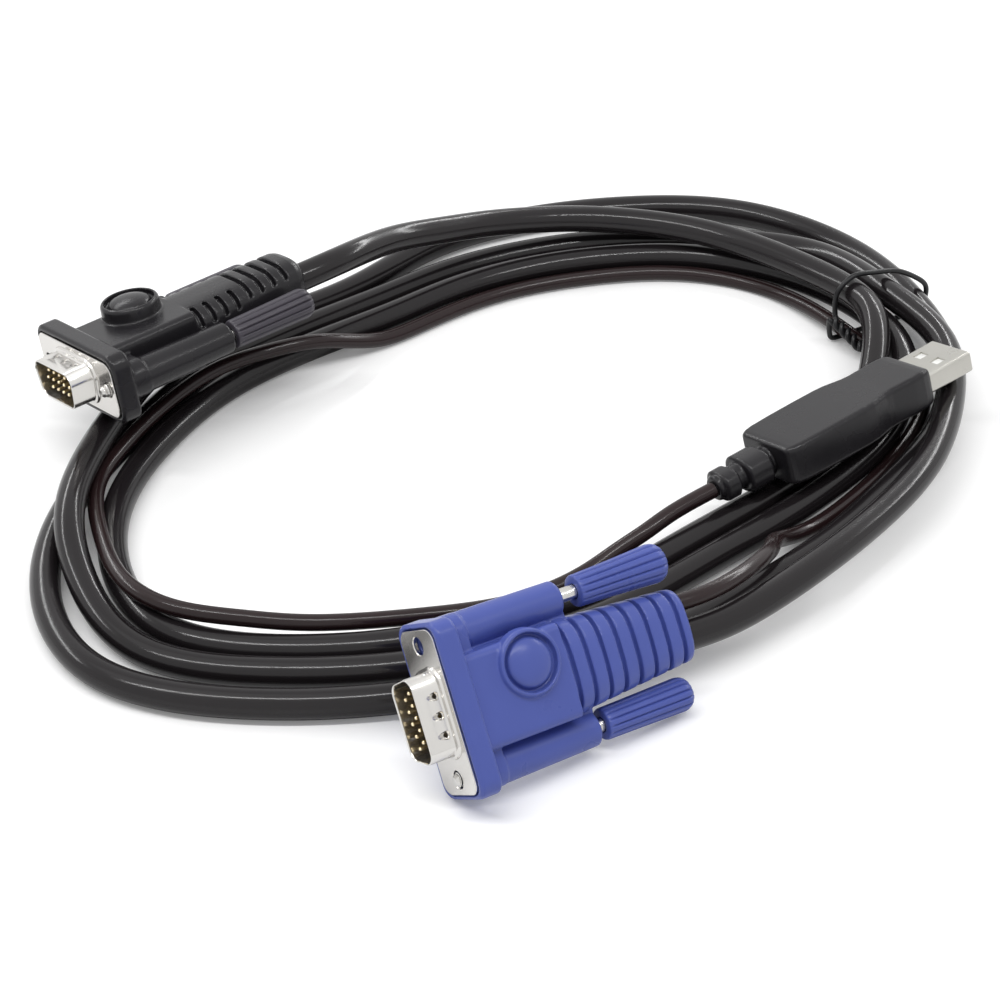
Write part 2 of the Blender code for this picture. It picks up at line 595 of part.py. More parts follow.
def usb_plug(plastic, nickel, gold, white):
    """The USB plug: moulded body, folded shell, tongue and four contacts."""
    frame = pose_frame("usb_plug", USB_PLACE, USB_TURN)
    sections = [(x, box_outline(width, height, USB_BODY_CORNER)) for x, width, height in USB_BODY_PROFILE]
    body = loft("usb_body", list(reversed(sections)), plastic, 30)
    neck = prism("usb_neck", -USB_NECK_TAIL, USB_BODY_PROFILE[-1][0] + OVERLAP,
                 circle(USB_NECK_RADIUS, ROUND_STEPS), plastic)
    combine(body, neck, "UNION")
    tools = [neck]
    for front, back, width, height in USB_COLLARS:
        full = box_outline(width, height, USB_COLLAR_CORNER)
        small = box_outline(width - 0.8, height - 0.8, USB_COLLAR_CORNER - 0.4)
        collar = loft("usb_collar", [(back, small), (back + 0.4, full), (front - 0.4, full), (front, small)], plastic)
        combine(body, collar, "UNION")
        tools.append(collar)
    pocket = prism("usb_pocket", -USB_BURIED - SEAT_GAP, 1,
                   box_outline(USB_WIDTH + 2 * SEAT_GAP, USB_HEIGHT + 2 * SEAT_GAP, USB_CORNER + SEAT_GAP), plastic)
    combine(body, pocket, "DIFFERENCE")
    shell = prism("usb_shell", -USB_BURIED, USB_LENGTH, box_outline(USB_WIDTH, USB_HEIGHT, USB_CORNER), nickel)
    hollow = prism("usb_hollow", -USB_BURIED - 1, USB_LENGTH + 1,
                   box_outline(USB_WIDTH - 2 * USB_WALL, USB_HEIGHT - 2 * USB_WALL, USB_CORNER - USB_WALL), nickel)
    combine(shell, hollow, "DIFFERENCE")
    tools += [pocket, hollow]
    for side in (-1, 1):
        window = prism("usb_window", USB_WINDOW_FRONT - USB_WINDOW, USB_WINDOW_FRONT,
                       moved(box_outline(USB_WINDOW, USB_HEIGHT + 2, 0.1), side * USB_WINDOW_SIDE), nickel)
        combine(shell, window, "DIFFERENCE")
        tools.append(window)
    floor = USB_WALL + SEAT_GAP - USB_HEIGHT / 2
    tongue_width = USB_WIDTH - 2 * USB_WALL - 2 * SEAT_GAP
    tongue = prism("usb_tongue", -USB_BURIED, USB_TONGUE_FRONT,
                   moved(box_outline(tongue_width, USB_TONGUE_THICK, 0.2), 0, floor + USB_TONGUE_THICK / 2), white)
    pieces = []
    top = floor + USB_TONGUE_THICK
    for number in range(USB_CONTACTS):
        across = (number - (USB_CONTACTS - 1) / 2) * USB_CONTACT_PITCH
        back = USB_CONTACT_FRONT - USB_CONTACT_LENGTH
        slot = prism("usb_contact_slot", back - PIN_GAP, USB_CONTACT_FRONT + PIN_GAP,
                     moved(box_outline(USB_CONTACT_WIDTH + 2 * PIN_GAP, 1.0, 0.1), across, top + 0.3), white)
        combine(tongue, slot, "DIFFERENCE")
        tools.append(slot)
        pieces.append(prism("usb_contact_%d" % (number + 1), back, USB_CONTACT_FRONT,
                            moved(box_outline(USB_CONTACT_WIDTH, USB_CONTACT_THICK, 0.08), across,
                                  top - 0.2 + PIN_GAP + USB_CONTACT_THICK / 2), gold))
    attach(frame, body, shell, tongue, *pieces, *tools)
    return frame


def on_coil(route):
    """World points, in millimetres, of a route given in angles, radii and heights."""
    return [Vector((COIL_MIDDLE[0] + radius * math.cos(math.radians(angle)),
                    COIL_MIDDLE[1] + radius * math.sin(math.radians(angle)), height))
            for angle, radius, height in route]


def smooth_curve(points, count=4000):
    """Points along the natural cubic curve through the given ones."""
    fixed = np.array([tuple(point) for point in points])
    steps = np.linalg.norm(np.diff(fixed, axis=0), axis=1) ** 0.5
    knots = np.concatenate(([0.0], np.cumsum(steps)))
    size = len(fixed)
    matrix = np.eye(size)
    right = np.zeros((size, 3))
    for index in range(1, size - 1):
        before = steps[index - 1]
        after = steps[index]
        matrix[index, index - 1:index + 2] = (before, 2 * (before + after), after)
        right[index] = 6 * ((fixed[index + 1] - fixed[index]) / after
                            - (fixed[index] - fixed[index - 1]) / before)
    bend = np.linalg.solve(matrix, right)
    places = np.linspace(0, knots[-1], count)
    spans = np.clip(np.searchsorted(knots, places, side="right") - 1, 0, size - 2)
    step = steps[spans][:, None]
    low = (knots[spans + 1] - places)[:, None] / step
    high = 1 - low
    return (low * fixed[spans] + high * fixed[spans + 1]
            + ((low ** 3 - low) * bend[spans] + (high ** 3 - high) * bend[spans + 1]) * step ** 2 / 6)


def at_spokes(curve):
    """The curve's ends and the places where it crosses the coil's spokes.

    The spokes are the equal steps of an ellipse like the coil, so they are closer at its
    tight ends, and laps that lie side by side are all read on the same spokes.
    """
    spokes = []
    for index in range(SPOKES):
        step = 2 * math.pi * index / SPOKES
        spokes.append(math.atan2(COIL_FLATNESS * math.sin(step), math.cos(step)) + COIL_TILT)
    angles = np.unwrap(np.arctan2(curve[:, 1] - COIL_MIDDLE[1], curve[:, 0] - COIL_MIDDLE[0]))
    found = [curve[0]]
    for index in range(len(curve) - 1):
        low, high = sorted((angles[index], angles[index + 1]))
        for spoke in spokes:
            crossing = spoke + 2 * math.pi * math.ceil((low - spoke) / (2 * math.pi))
            clear = np.linalg.norm(curve[index] - found[-1]) > CABLE_DIAMETER
            if low <= crossing < high and clear:
                found.append(curve[index])
    if np.linalg.norm(curve[-1] - found[-1]) < CABLE_DIAMETER:
        found.pop()
    found.append(curve[-1])
    return found


def tube(name, points, diameter, resolution, finish):
    """A round tube on a poly spline with closed ends."""
    curve = bpy.data.curves.new(name, "CURVE")
    curve.dimensions = "3D"
    curve.bevel_depth = diameter / 2 * MM
    curve.bevel_resolution = resolution
    curve.use_fill_caps = True
    spline = curve.splines.new("POLY")
    spline.points.add(len(points) - 1)
    for place, point in zip(spline.points, points):
        place.co = (point[0] * MM, point[1] * MM, point[2] * MM, 1.0)
    spline.use_smooth = True
    curve.materials.append(finish)
    made = bpy.data.objects.new(name, curve)
    bpy.context.scene.collection.objects.link(made)
    return made


def cables(blue, black, usb, rubber):
    """The thick cable between the 15-pin plugs and the thin lead to the USB plug."""
    black_end = -BLACK_RELIEF_TAIL - SEAT_GAP
    blue_end = -BLUE_RELIEF_TAIL - SEAT_GAP
    usb_end = -USB_NECK_TAIL - SEAT_GAP
    route = [in_plug(black, black_end, 0), in_plug(black, black_end - CABLE_STRAIGHT, 0),
             *on_coil(CABLE_ROUTE),
             in_plug(blue, blue_end - CABLE_STRAIGHT, CABLE_EXIT), in_plug(blue, blue_end, CABLE_EXIT)]
    tube("main_cable", at_spokes(smooth_curve(route)), CABLE_DIAMETER, 2, rubber)
    route = [in_plug(blue, blue_end, LEAD_EXIT), in_plug(blue, blue_end - LEAD_STRAIGHT, LEAD_EXIT),
             *on_coil(LEAD_ROUTE),
             in_plug(usb, usb_end - LEAD_STRAIGHT, 0), in_plug(usb, usb_end, 0)]
    tube("usb_lead", at_spokes(smooth_curve(route)), LEAD_DIAMETER, 2, rubber)


def cable_tie(finish):
    """The wire tie: once round the bundle, its two ends twisted together inside the coil."""
    direction = Vector((math.cos(math.radians(TIE_ANGLE)), math.sin(math.radians(TIE_ANGLE)), 0))
    across = Vector((-direction.y, direction.x, 0))
    middle = Vector((COIL_MIDDLE[0], COIL_MIDDLE[1], 0))

    def place(radius, height, side=0.0):
        return middle + direction * radius + across * side + Vector((0, 0, height))

    def twist(phase, along):
        angle = 2 * math.pi * TIE_TWIST_TURNS * along + phase
        centre = (TIE_TWIST_START[0] - 0.75 * TIE_TWIST_LENGTH * along,
                  TIE_TWIST_START[1] + 0.3 * TIE_TWIST_LENGTH * along)
        return place(centre[0], centre[1] + TIE_TWIST_RADIUS * math.cos(angle),
                     TIE_TWIST_RADIUS * math.sin(angle))

    steps = 14
    tail = [twist(math.pi, 1 - step / steps) for step in range(steps + 1)]
    other = [twist(0.0, step / steps) for step in range(steps + 1)]
    ring = smooth_curve([place(radius, height) for radius, height in TIE_ROUTE], 40)
    tube("cable_tie", [*tail, *ring, *other], TIE_DIAMETER, 1, finish)


def main():
    for old in list(bpy.data.objects):
        bpy.data.objects.remove(old, do_unlink=True)

    blue_plastic = material("blue plastic", (0.06, 0.075, 0.32), 0.42)
    black_plastic = material("black plastic", (0.035, 0.034, 0.037), 0.4)
    grey_plastic = material("dark grey plastic", (0.06, 0.058, 0.065), 0.38)
    insulation = material("dark insulator", (0.03, 0.025, 0.022), 0.5)
    nickel = material("nickel plate", (0.72, 0.7, 0.68), 0.28, 1.0)
    gold = material("gold contact", (0.83, 0.62, 0.28), 0.25, 1.0)
    tongue_white = material("white tongue", (0.78, 0.78, 0.76), 0.4)
    jacket = material("black jacket", (0.03, 0.028, 0.032), 0.32)
    tie_jacket = material("tie jacket", (0.025, 0.024, 0.026), 0.4)

    metals = (nickel, gold, insulation)
    blue = video_plug("blue_", BLUE_PLACE, BLUE_TURN, blue_plastic, blue_plastic, ribbed_relief,
                      BLUE_BADGE_RISE, metals)
    black = video_plug("black_", BLACK_PLACE, BLACK_TURN, black_plastic, grey_plastic, slotted_relief,
                       BLACK_BADGE_RISE, metals)
    usb = usb_plug(black_plastic, nickel, gold, tongue_white)
    cables(blue, black, usb, jacket)
    cable_tie(tie_jacket)


main()
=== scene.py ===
"""Finish, stage and camera for the coiled computer switch cable.

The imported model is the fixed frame.  Pieces are modelled in millimetres in the frame of the
plug that they belong to, and are turned into metres where they are put in place.
"""

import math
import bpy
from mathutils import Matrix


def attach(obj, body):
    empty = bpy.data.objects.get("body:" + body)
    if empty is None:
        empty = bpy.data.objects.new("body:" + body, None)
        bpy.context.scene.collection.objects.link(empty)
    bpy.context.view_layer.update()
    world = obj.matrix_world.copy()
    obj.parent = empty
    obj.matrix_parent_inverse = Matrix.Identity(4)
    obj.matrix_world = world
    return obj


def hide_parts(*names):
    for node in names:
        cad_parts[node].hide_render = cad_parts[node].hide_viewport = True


bl_info = {
    "name": "Computer switch cable",
    "version": (1, 0, 0),
    "blender": (4, 5, 0),
    "location": "3D View > Sidebar > Switch Cable",
    "description": "Dresses the packed model of a computer switch cable",
    "category": "Object",
}

import bmesh
import bpy
import numpy as np
from mathutils import Euler, Matrix, Vector

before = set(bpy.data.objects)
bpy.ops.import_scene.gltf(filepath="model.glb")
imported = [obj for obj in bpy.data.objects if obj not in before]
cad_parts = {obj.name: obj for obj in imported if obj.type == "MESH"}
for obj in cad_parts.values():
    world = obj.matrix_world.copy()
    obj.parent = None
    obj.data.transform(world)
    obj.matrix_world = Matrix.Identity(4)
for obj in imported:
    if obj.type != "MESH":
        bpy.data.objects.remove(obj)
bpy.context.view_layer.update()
MM = 0.001

# Places and turns (heading, nose up, roll) of the plugs, as the frame has them
PLUGS = {
    "blue": {"place": (-11.93, -75.35, 17.1), "turn": (-146.5, 3.5, -53.8)},
    "black": {"place": (-88.79, 28.13, 21.3), "turn": (-141.7, -2.5, 12.2)},
    "usb": {"place": (85.92, 34.57, 16.0), "turn": (36.7, 5.8, -15.2)},
}

# Fit of the pieces to the frame, in millimetres
SCREW_SPACING = 25.0
FLANGE = {"width": 33.0, "height": 15.4, "thick": 4.5, "corner": 3.0}
PLATE = {"width": 30.8, "height": 12.5, "thick": 0.8, "proud": 0.3, "corner": 2.4}
SHELL = {"width": 16.9, "height": 8.4, "length": 6.0, "wall": 0.45, "slope": 10.0, "corner": 2.5}
HOOD_HALF_WIDTH = 9.0
HOOD_HALF_HEIGHT = 6.5
BARREL_RADIUS = 3.8
BARREL_LENGTH = 29.4
FLANGE_EDGE = 0.5
PLATE_EDGE = 0.12
PLATE_SEAT = {"width": PLATE["width"] + 0.5, "height": PLATE["height"] + 0.5, "corner": 2.6,
              "depth": -0.8}
CONTACT_POCKET = -3.2
HOLE_RADII = (1.7, 2.0)
DENT = ((1.35, 0.35, 0.1), (1.5, 0.62, 0.12), (1.75, 0.82, 0.14), (2.15, 0.84, 0.3), (3.7, 0.84, 0.8))
DENT_PITCH = 3.6
PANEL_TAIL = -24.8
WEB = {"tail": -29.4, "height": 3.2}
NECK = {"tail": -8.0, "height": 8.2}
OVERLAP = 0.5
RELIEF_START = -23.0
BADGE_PLACE = (-16.8, -3.8)
BADGE_RISES = {"blue": 1.2, "black": 3.2}
BADGE_BOSS = 6.3
BADGE_DISC = 4.6
FIRST_GROOVE = -25.2
LAST_GROOVE_MARGIN = 2.9
GROOVE_WIDTH = 0.95
GROOVE_DEPTH = 1.25
FIRST_SLOT = -25.6
TOP_SLOT_SETBACK = 13.2
SLOT_COUNT = 4
SLOT_WIDTH = 1.15
SLOT_PITCH = 3.2
SLOT_DEPTH = 1.3
BLUE_RELIEF = {"width": 18.4, "narrows": 4.2, "height": 12.9, "lowers": 2.9, "power": 2.9}
BLACK_RELIEF = {"width": 18.4, "narrows": 4.6, "height": 13.0, "lowers": 1.2, "power": 3.1, "lift": 0.9}
SEAT_GAP = 0.3
SCREW_PLAY = 0.33
SCREW_RADIUS = 1.42
SCREW_REACH = 32.3
KNOB_LENGTH = 19.8
KNOB_FRONTS = {"blue_near": -31.2, "blue_far": -33.5, "black_near": -30.3, "black_far": -30.3}
KNOB_SIDES = {"near": 1, "far": -1}
KNOB_RADIUS = 3.1
KNOB_FLARES = {"blue_near": 0.25, "blue_far": 0.75, "black_near": 0.25, "black_far": 0.0}
KNOB_ROUNDING = 2.2
KNOB_SOCKET = -9.3
FLUTE_COUNT = 14
FLUTE_DEPTH = 0.42
CABLE_EXIT = 2.4
LEAD_EXIT = -3.9
CABLE_STRAIGHT = 12.7
LEAD_STRAIGHT = 10.7
BLUE_END = -53.3
BLACK_END = -54.3
USB_END = -54.9

# The coil: each point is an angle about its middle in degrees, a radius and a height
COIL_MIDDLE = (2.9, 32.98)
CABLE_ROUTE = (
    # From the black plug, down over the top side of the coil to the tie
    (119, 58.5, 20.8), (106, 63.3, 17.6), (95, 69.5, 14.6), (86, 74.5, 12.6), (77, 79.0, 11.2),
    (61, 83.8, 10.5), (45, 85.5, 10.8), (30, 87.3, 11.5), (22, 85.2, 11.6), (13, 79.6, 8.8),
    # First lap, the innermost one at the front
    (0, 71.0, 4.4), (345, 61.0, 3.3), (330, 54.5, 3.3), (315, 51.8, 3.3), (300, 53.0, 3.3),
    (285, 57.5, 3.3), (270, 63.5, 3.3), (255, 73.0, 3.3), (240, 85.0, 3.3), (225, 96.0, 3.3),
    (210, 93.5, 3.3), (195, 84.8, 3.3), (180, 74.5, 3.3), (165, 66.3, 3.3), (150, 59.5, 3.3),
    (135, 55.5, 3.3), (120, 55.3, 3.3), (105, 59.6, 3.3), (90, 66.1, 3.3), (75, 74.3, 3.3),
    (60, 84.0, 3.3), (45, 90.0, 3.9), (30, 91.0, 5.6), (15, 87.8, 7.1),
    # Second lap, which climbs over the third at the left and comes down outside it
    (0, 79.0, 4.2), (345, 68.6, 3.3), (330, 61.9, 3.3), (315, 59.0, 3.3), (300, 60.3, 3.3),
    (285, 65.2, 3.3), (270, 71.8, 3.3), (255, 81.2, 3.3), (240, 92.8, 3.3), (225, 103.6, 3.3),
    (212, 102.2, 6.2), (204, 99.0, 9.4), (195, 93.2, 10.1), (180, 84.3, 10.0), (165, 79.3, 8.7),
    (150, 74.5, 5.0), (135, 69.8, 3.3), (120, 70.6, 3.3), (105, 80.0, 3.3), (90, 89.4, 3.3),
    (75, 98.8, 3.3), (60, 108.0, 3.3), (45, 109.5, 3.4), (30, 104.0, 4.9), (15, 98.6, 4.6),
    # Third lap, the outermost one at the front, which rises to the blue plug
    (0, 89.5, 3.6), (345, 79.5, 3.3), (330, 74.3, 3.3), (315, 72.0, 3.3), (300, 72.8, 3.3),
    (285, 76.5, 3.3), (270, 82.0, 3.3), (255, 91.0, 3.3), (240, 103.2, 3.3), (225, 113.6, 3.3),
    (210, 108.5, 3.3), (195, 95.4, 3.3), (180, 82.6, 3.3), (165, 74.4, 3.3), (150, 66.9, 3.3),
    (135, 62.7, 3.3), (120, 62.6, 3.3), (105, 67.2, 3.3), (90, 73.9, 3.3), (75, 82.3, 3.3),
    (60, 92.5, 3.4), (45, 98.0, 6.5), (30, 95.2, 10.2), (15, 96.0, 11.2), (0, 91.5, 11.0),
    (345, 86.6, 10.8), (330, 82.4, 11.0), (315, 81.5, 11.4),
)
LEAD_ROUTE = (
    # From the blue plug down between two laps and under the tie
    (312, 72.8, 12.2), (320, 66.9, 6.6), (330, 67.6, 2.3), (345, 74.2, 1.9), (0, 83.7, 1.9),
    (12, 90.6, 1.9), (20, 88.0, 1.9), (30, 84.3, 3.3), (45, 84.3, 1.9), (60, 78.2, 1.9),
    # Along the inside of the coil at the back
    (75, 68.4, 1.9), (90, 60.4, 1.9), (105, 53.8, 1.9), (120, 49.6, 1.9), (129, 49.3, 2.4),
    (138, 50.6, 4.8), (148, 54.0, 7.9), (157, 60.2, 8.6), (167, 68.2, 8.9), (178, 77.0, 7.3),
    # Over the inner laps at the left and back inside them at the front
    (187, 83.6, 7.1), (195, 89.9, 6.5), (207, 94.1, 7.7), (217, 97.0, 8.4), (225, 94.8, 8.5),
    (232, 88.0, 7.8), (240, 79.8, 6.4), (255, 67.0, 4.8), (270, 57.8, 3.0), (284, 51.6, 3.6),
    (293, 49.4, 5.8), (301, 48.9, 8.0),
)
TIE_ANGLE = 30
TIE_ROUTE = ((81.5, 2.6), (82.2, 1.1), (84.4, 0.75), (96.0, 0.75), (103.6, 0.8), (107.6, 2.6),
             (108.3, 6.4), (105.6, 9.6), (99.6, 13.4), (95.4, 14.6), (90.6, 15.6), (86.6, 15.8),
             (83.2, 13.4), (82.4, 9.6))
TIE_TWIST_START = (81.2, 7.0)
TIE_TWIST_LENGTH = 9.5
TIE_TWIST_TURNS = 2.5
TIE_TWIST_SETBACK = 1.2
TIE_TWIST_LEAN = (1.7, -3.4)
TIE_TWIST_RADIUS = 0.78
TIE_TWIST_STEPS = 14
CABLE_SPACING = 1.6
TIE_SPACING = 0.4

# Contacts and screws of the 15-pin plugs
CONTACT_FOOT = -1.8
CONTACT_TIP = 5.0
THREADED = 9.0
THREAD_PLAIN = 0.9
SCREW_TAIL = -9.0
SHANK_RADIUS = SCREW_RADIUS - 0.05
CORE_RADIUS = SCREW_RADIUS - 0.22
THREAD_RIDGE = 0.24

# The USB plug's pieces, measured along it from the front of its body
USB_BODY = (
    (0.0, 12.8, 7.4), (-0.3, 13.4, 7.9), (-1.0, 14.0, 8.3), (-2.4, 14.7, 8.5), (-5.0, 14.9, 8.5),
    (-8.5, 14.6, 8.5), (-11.0, 14.4, 8.5), (-13.0, 14.8, 8.55), (-15.0, 15.8, 8.6),
    (-17.0, 16.8, 8.65), (-19.5, 17.3, 8.7), (-25.0, 17.4, 8.75), (-32.0, 17.3, 8.75),
    (-37.0, 16.9, 8.7), (-38.9, 16.2, 8.6), (-39.9, 15.2, 8.3), (-40.4, 13.8, 7.7),
)
USB_NECK = ((-54.6, 2.3), (-54.2, 2.7), (-39.0, 2.9))
USB_COLLARS = ((-41.9, -47.9, 9.4, 7.4), (-49.9, -53.6, 7.6, 6.2))
USB_POCKET = -6.3
USB_SHELL_BACK = -6.0
USB_WINDOW_FRONT = 6.9
USB_WINDOW_SIDE = 2.6
# Front and back of a white sheet under the windows, painted light in place of the lit tongue
USB_PAINTED_LIGHT_SHEET = (3.4, 7.9)

# Camera: it looks at this point from this distance and angle
CAMERA_TARGET = Vector((-1.1, 5.98, 5.0)) * MM
CAMERA_DISTANCE = 0.555
CAMERA_ELEVATION = math.radians(36)
CAMERA_LENS = 97.2
SENSOR = 36.0

# Light that the floor gives off for the camera alone
FLOOR_GLOW = 0.14


def length_property(name, description, default):
    return bpy.props.FloatProperty(name=name, description=description, default=default, min=0.0,
                                   precision=5, subtype="DISTANCE", unit="LENGTH")


def colour_property(name, description, default):
    return bpy.props.FloatVectorProperty(name=name, description=description, default=default,
                                         min=0.0, max=1.0, size=3, subtype="COLOR")


def level_property(name, description, default, low=0.0):
    return bpy.props.FloatProperty(name=name, description=description, default=default, min=low)


def count_property(name, description, default, low, high):
    return bpy.props.IntProperty(name=name, description=description, default=default, min=low, max=high)


class CableSettings(bpy.types.PropertyGroup):
    """Sizes and colour of the cable, the lead and the tie."""

    cable_diameter: length_property("Cable diameter", "Diameter of the thick cable", 0.0062)
    lead_diameter: length_property("Lead diameter", "Diameter of the lead to the USB plug", 0.0034)
    tie_diameter: length_property("Tie diameter", "Diameter of the wire tie", 0.0012)
    jacket: colour_property("Jacket", "Colour of the cable's jacket", (0.0125, 0.0105, 0.0115))
    lead_jacket: colour_property("Lead jacket", "Colour of the lead's jacket", (0.017, 0.0085, 0.009))
    sides: count_property("Sides", "Facets round a cable", 28, 8, 64)


class PlugSettings(bpy.types.PropertyGroup):
    """Sizes and colours of the two 15-pin plugs."""

    blue: colour_property("Blue", "Colour of the blue hood and its knobs", (0.070, 0.098, 0.35))
    black: colour_property("Black", "Colour of the black hood", (0.0135, 0.0125, 0.0145))
    grey: colour_property("Grey", "Colour of the knobs on the black hood", (0.055, 0.050, 0.062))
    pin_diameter: length_property("Pin diameter", "Diameter of a contact", 0.00076)
    pin_pitch: length_property("Pin pitch", "Distance between contacts in a row", 0.00229)
    pin_row_pitch: length_property("Row pitch", "Distance between rows of contacts", 0.00198)
    thread_pitch: length_property("Thread pitch", "Pitch of the screws", 0.000635)
    ribs: count_property("Ribs", "Grooves on the blue relief", 8, 2, 12)
    moulding: level_property("Moulding step", "Mesh step of the hoods, in millimetres", 0.26, 0.2)


class UsbSettings(bpy.types.PropertyGroup):
    """Sizes of the USB plug."""

    width: length_property("Width", "Width of the metal shell", 0.012)
    height: length_property("Height", "Height of the metal shell", 0.0045)
    length: length_property("Length", "Length of the shell outside the body", 0.012)
    wall: length_property("Wall", "Thickness of the metal shell", 0.00035)
    window: length_property("Window", "Side of a square window", 0.0024)
    moulding: level_property("Moulding step", "Mesh step of the body, in millimetres", 0.22, 0.2)


class StageSettings(bpy.types.PropertyGroup):
    """Floor and lights."""

    floor: colour_property("Floor", "Colour of the floor", (0.9, 0.9, 0.9))
    floor_size: length_property("Floor size", "Side of the floor", 6.0)
    key_power: level_property("Key light", "Power of the soft light, in watts", 0.8)
    strip_power: level_property("Strip light", "Power of the light overhead, in watts", 5.2)
    side_power: level_property("Side lights", "Power of each side light, in watts", 2.6)
    sky: level_property("Sky", "Brightness of the surroundings", 0.4)


# Finishes

def shader_of(name):
    """A new material, its node tree and its Principled shader."""
    made = bpy.data.materials.new(name)
    made.use_nodes = True
    return made, made.node_tree, made.node_tree.nodes["Principled BSDF"]


def feed(tree, target, value):
    """Link a socket to an input, or set the input's own value."""
    if isinstance(value, bpy.types.NodeSocket):
        tree.links.new(value, target)
    else:
        target.default_value = value


def add_node(tree, kind, **values):
    """A node with some of its own values set, and its inputs set or linked."""
    node = tree.nodes.new(kind)
    for key, value in values.items():
        label = key.replace("_", " ")
        if label in node.inputs:
            feed(tree, node.inputs[label], value)
        else:
            setattr(node, key, value)
    return node


def math_node(tree, operation, first, second):
    """The result of a Math node on two sockets or numbers."""
    node = add_node(tree, "ShaderNodeMath", operation=operation)
    feed(tree, node.inputs[0], first)
    feed(tree, node.inputs[1], second)
    return node.outputs[0]


def noise(tree, place, scale, detail):
    return add_node(tree, "ShaderNodeTexNoise", Vector=place, Scale=scale, Detail=detail).outputs["Fac"]


def bump(tree, height, strength, distance, **under):
    return add_node(tree, "ShaderNodeBump", Height=height, Strength=strength, Distance=distance,
                    **under).outputs["Normal"]


def ranged(tree, value, low, high):
    """A factor from 0 to 1 spread over a range."""
    return add_node(tree, "ShaderNodeMapRange", Value=value, To_Min=low, To_Max=high).outputs["Result"]


def dress(tree, shader, colour, spread, cloud, low, high, normal):
    """Vary a shader's colour and roughness by one cloudiness, and give it its relief."""
    mix = add_node(tree, "ShaderNodeMix", data_type="RGBA", Factor=cloud,
                   A=(*[channel * (1 - spread) for channel in colour], 1),
                   B=(*[min(1.0, channel * (1 + spread)) for channel in colour], 1))
    tree.links.new(mix.outputs["Result"], shader.inputs["Base Color"])
    tree.links.new(ranged(tree, cloud, low, high), shader.inputs["Roughness"])
    tree.links.new(normal, shader.inputs["Normal"])


def moulded_finish(name, colour, roughness):
    """Moulded vinyl: a fine spark-eroded grain and a faint cloudiness."""
    made, tree, shader = shader_of(name)
    place = add_node(tree, "ShaderNodeTexCoord").outputs["Object"]
    grain = bump(tree, noise(tree, place, 2600.0, 2.0), 0.35, 0.00003)
    dress(tree, shader, colour, 0.08, noise(tree, place, 90.0, 3.0), roughness - 0.07, roughness + 0.07,
          grain)
    shader.inputs["Specular IOR Level"].default_value = 0.3
    return made


def metal_finish(name, colour, roughness):
    """Plated metal with fine rolling marks."""
    made, tree, shader = shader_of(name)
    place = add_node(tree, "ShaderNodeTexCoord").outputs["Object"]
    marks = bump(tree, noise(tree, place, 900.0, 2.0), 0.2, 0.00002)
    dress(tree, shader, colour, 0.06, noise(tree, place, 140.0, 3.0), roughness - 0.05, roughness + 0.08,
          marks)
    shader.inputs["Metallic"].default_value = 1.0
    return made


def jacket_finish(name, colour, roughness):
    """Extruded vinyl: faint streaks along the cable and slow changes of gloss."""
    made, tree, shader = shader_of(name)
    along, around = (add_node(tree, "ShaderNodeAttribute", attribute_name=label).outputs["Fac"]
                     for label in ("along", "around"))
    unrolled = add_node(tree, "ShaderNodeCombineXYZ", X=along, Y=around).outputs["Vector"]
    stretched = add_node(tree, "ShaderNodeMapping", vector_type="POINT", Vector=unrolled,
                         Scale=(25.0, 14.0, 1.0)).outputs["Vector"]
    place = add_node(tree, "ShaderNodeTexCoord").outputs["Object"]
    streaks = bump(tree, noise(tree, stretched, 1.0, 2.0), 0.25, 0.00008)
    grain = bump(tree, noise(tree, place, 3200.0, 1.0), 0.08, 0.00001, Normal=streaks)
    dress(tree, shader, colour, 0.16, noise(tree, place, 45.0, 2.0), roughness - 0.04, roughness + 0.05,
          grain)
    shader.inputs["Specular IOR Level"].default_value = 0.32
    return made


FINISHES = {}


def finish(name):
    """A finish by its name, made when it is first asked for."""
    if name not in FINISHES:
        plugs = bpy.context.scene.switch_plugs
        cables = bpy.context.scene.switch_cables
        maker, colour, roughness = {
            "blue_plastic": (moulded_finish, plugs.blue, 0.29),
            "black_plastic": (moulded_finish, plugs.black, 0.27),
            "grey_plastic": (moulded_finish, plugs.grey, 0.36),
            "insulator": (moulded_finish, (0.010, 0.0075, 0.007), 0.5),
            "tongue": (moulded_finish, (0.76, 0.76, 0.74), 0.4),
            "nickel": (metal_finish, (0.68, 0.665, 0.64), 0.2),
            "tinned": (metal_finish, (0.49, 0.48, 0.445), 0.28),
            "steel": (metal_finish, (0.62, 0.61, 0.59), 0.24),
            "gold": (metal_finish, (0.86, 0.72, 0.46), 0.24),
            "jacket": (jacket_finish, cables.jacket, 0.165),
            "lead_jacket": (jacket_finish, cables.lead_jacket, 0.2),
            "tie": (jacket_finish, (0.008, 0.008, 0.009), 0.36),
        }[name]
        FINISHES[name] = maker(name, colour, roughness)
    return FINISHES[name]


# Outlines in the YZ plane, in millimetres

def fillet(corners, radius, steps):
    """A convex outline with each corner replaced by an arc."""
    points = []
    count = len(corners)
    for index, corner in enumerate(corners):
        here = Vector(corner)
        to_last = (Vector(corners[index - 1]) - here).normalized()
        to_next = (Vector(corners[(index + 1) % count]) - here).normalized()
        half = to_last.angle(to_next) / 2
        centre = here + (to_last + to_next).normalized() * (radius / math.sin(half))
        start = here + to_last * (radius / math.tan(half)) - centre
        turn = math.pi - 2 * half
        for step in range(steps + 1):
            angle = turn * step / steps
            points.append((centre.x + start.x * math.cos(angle) - start.y * math.sin(angle),
                           centre.y + start.x * math.sin(angle) + start.y * math.cos(angle)))
    return points


def box_outline(width, height, radius, steps=8):
    """A rounded rectangle."""
    radius = min(radius, 0.499 * min(width, height))
    half_width = width / 2
    half_height = height / 2
    return fillet([(half_width, -half_height), (half_width, half_height),
                   (-half_width, half_height), (-half_width, -half_height)], radius, steps)


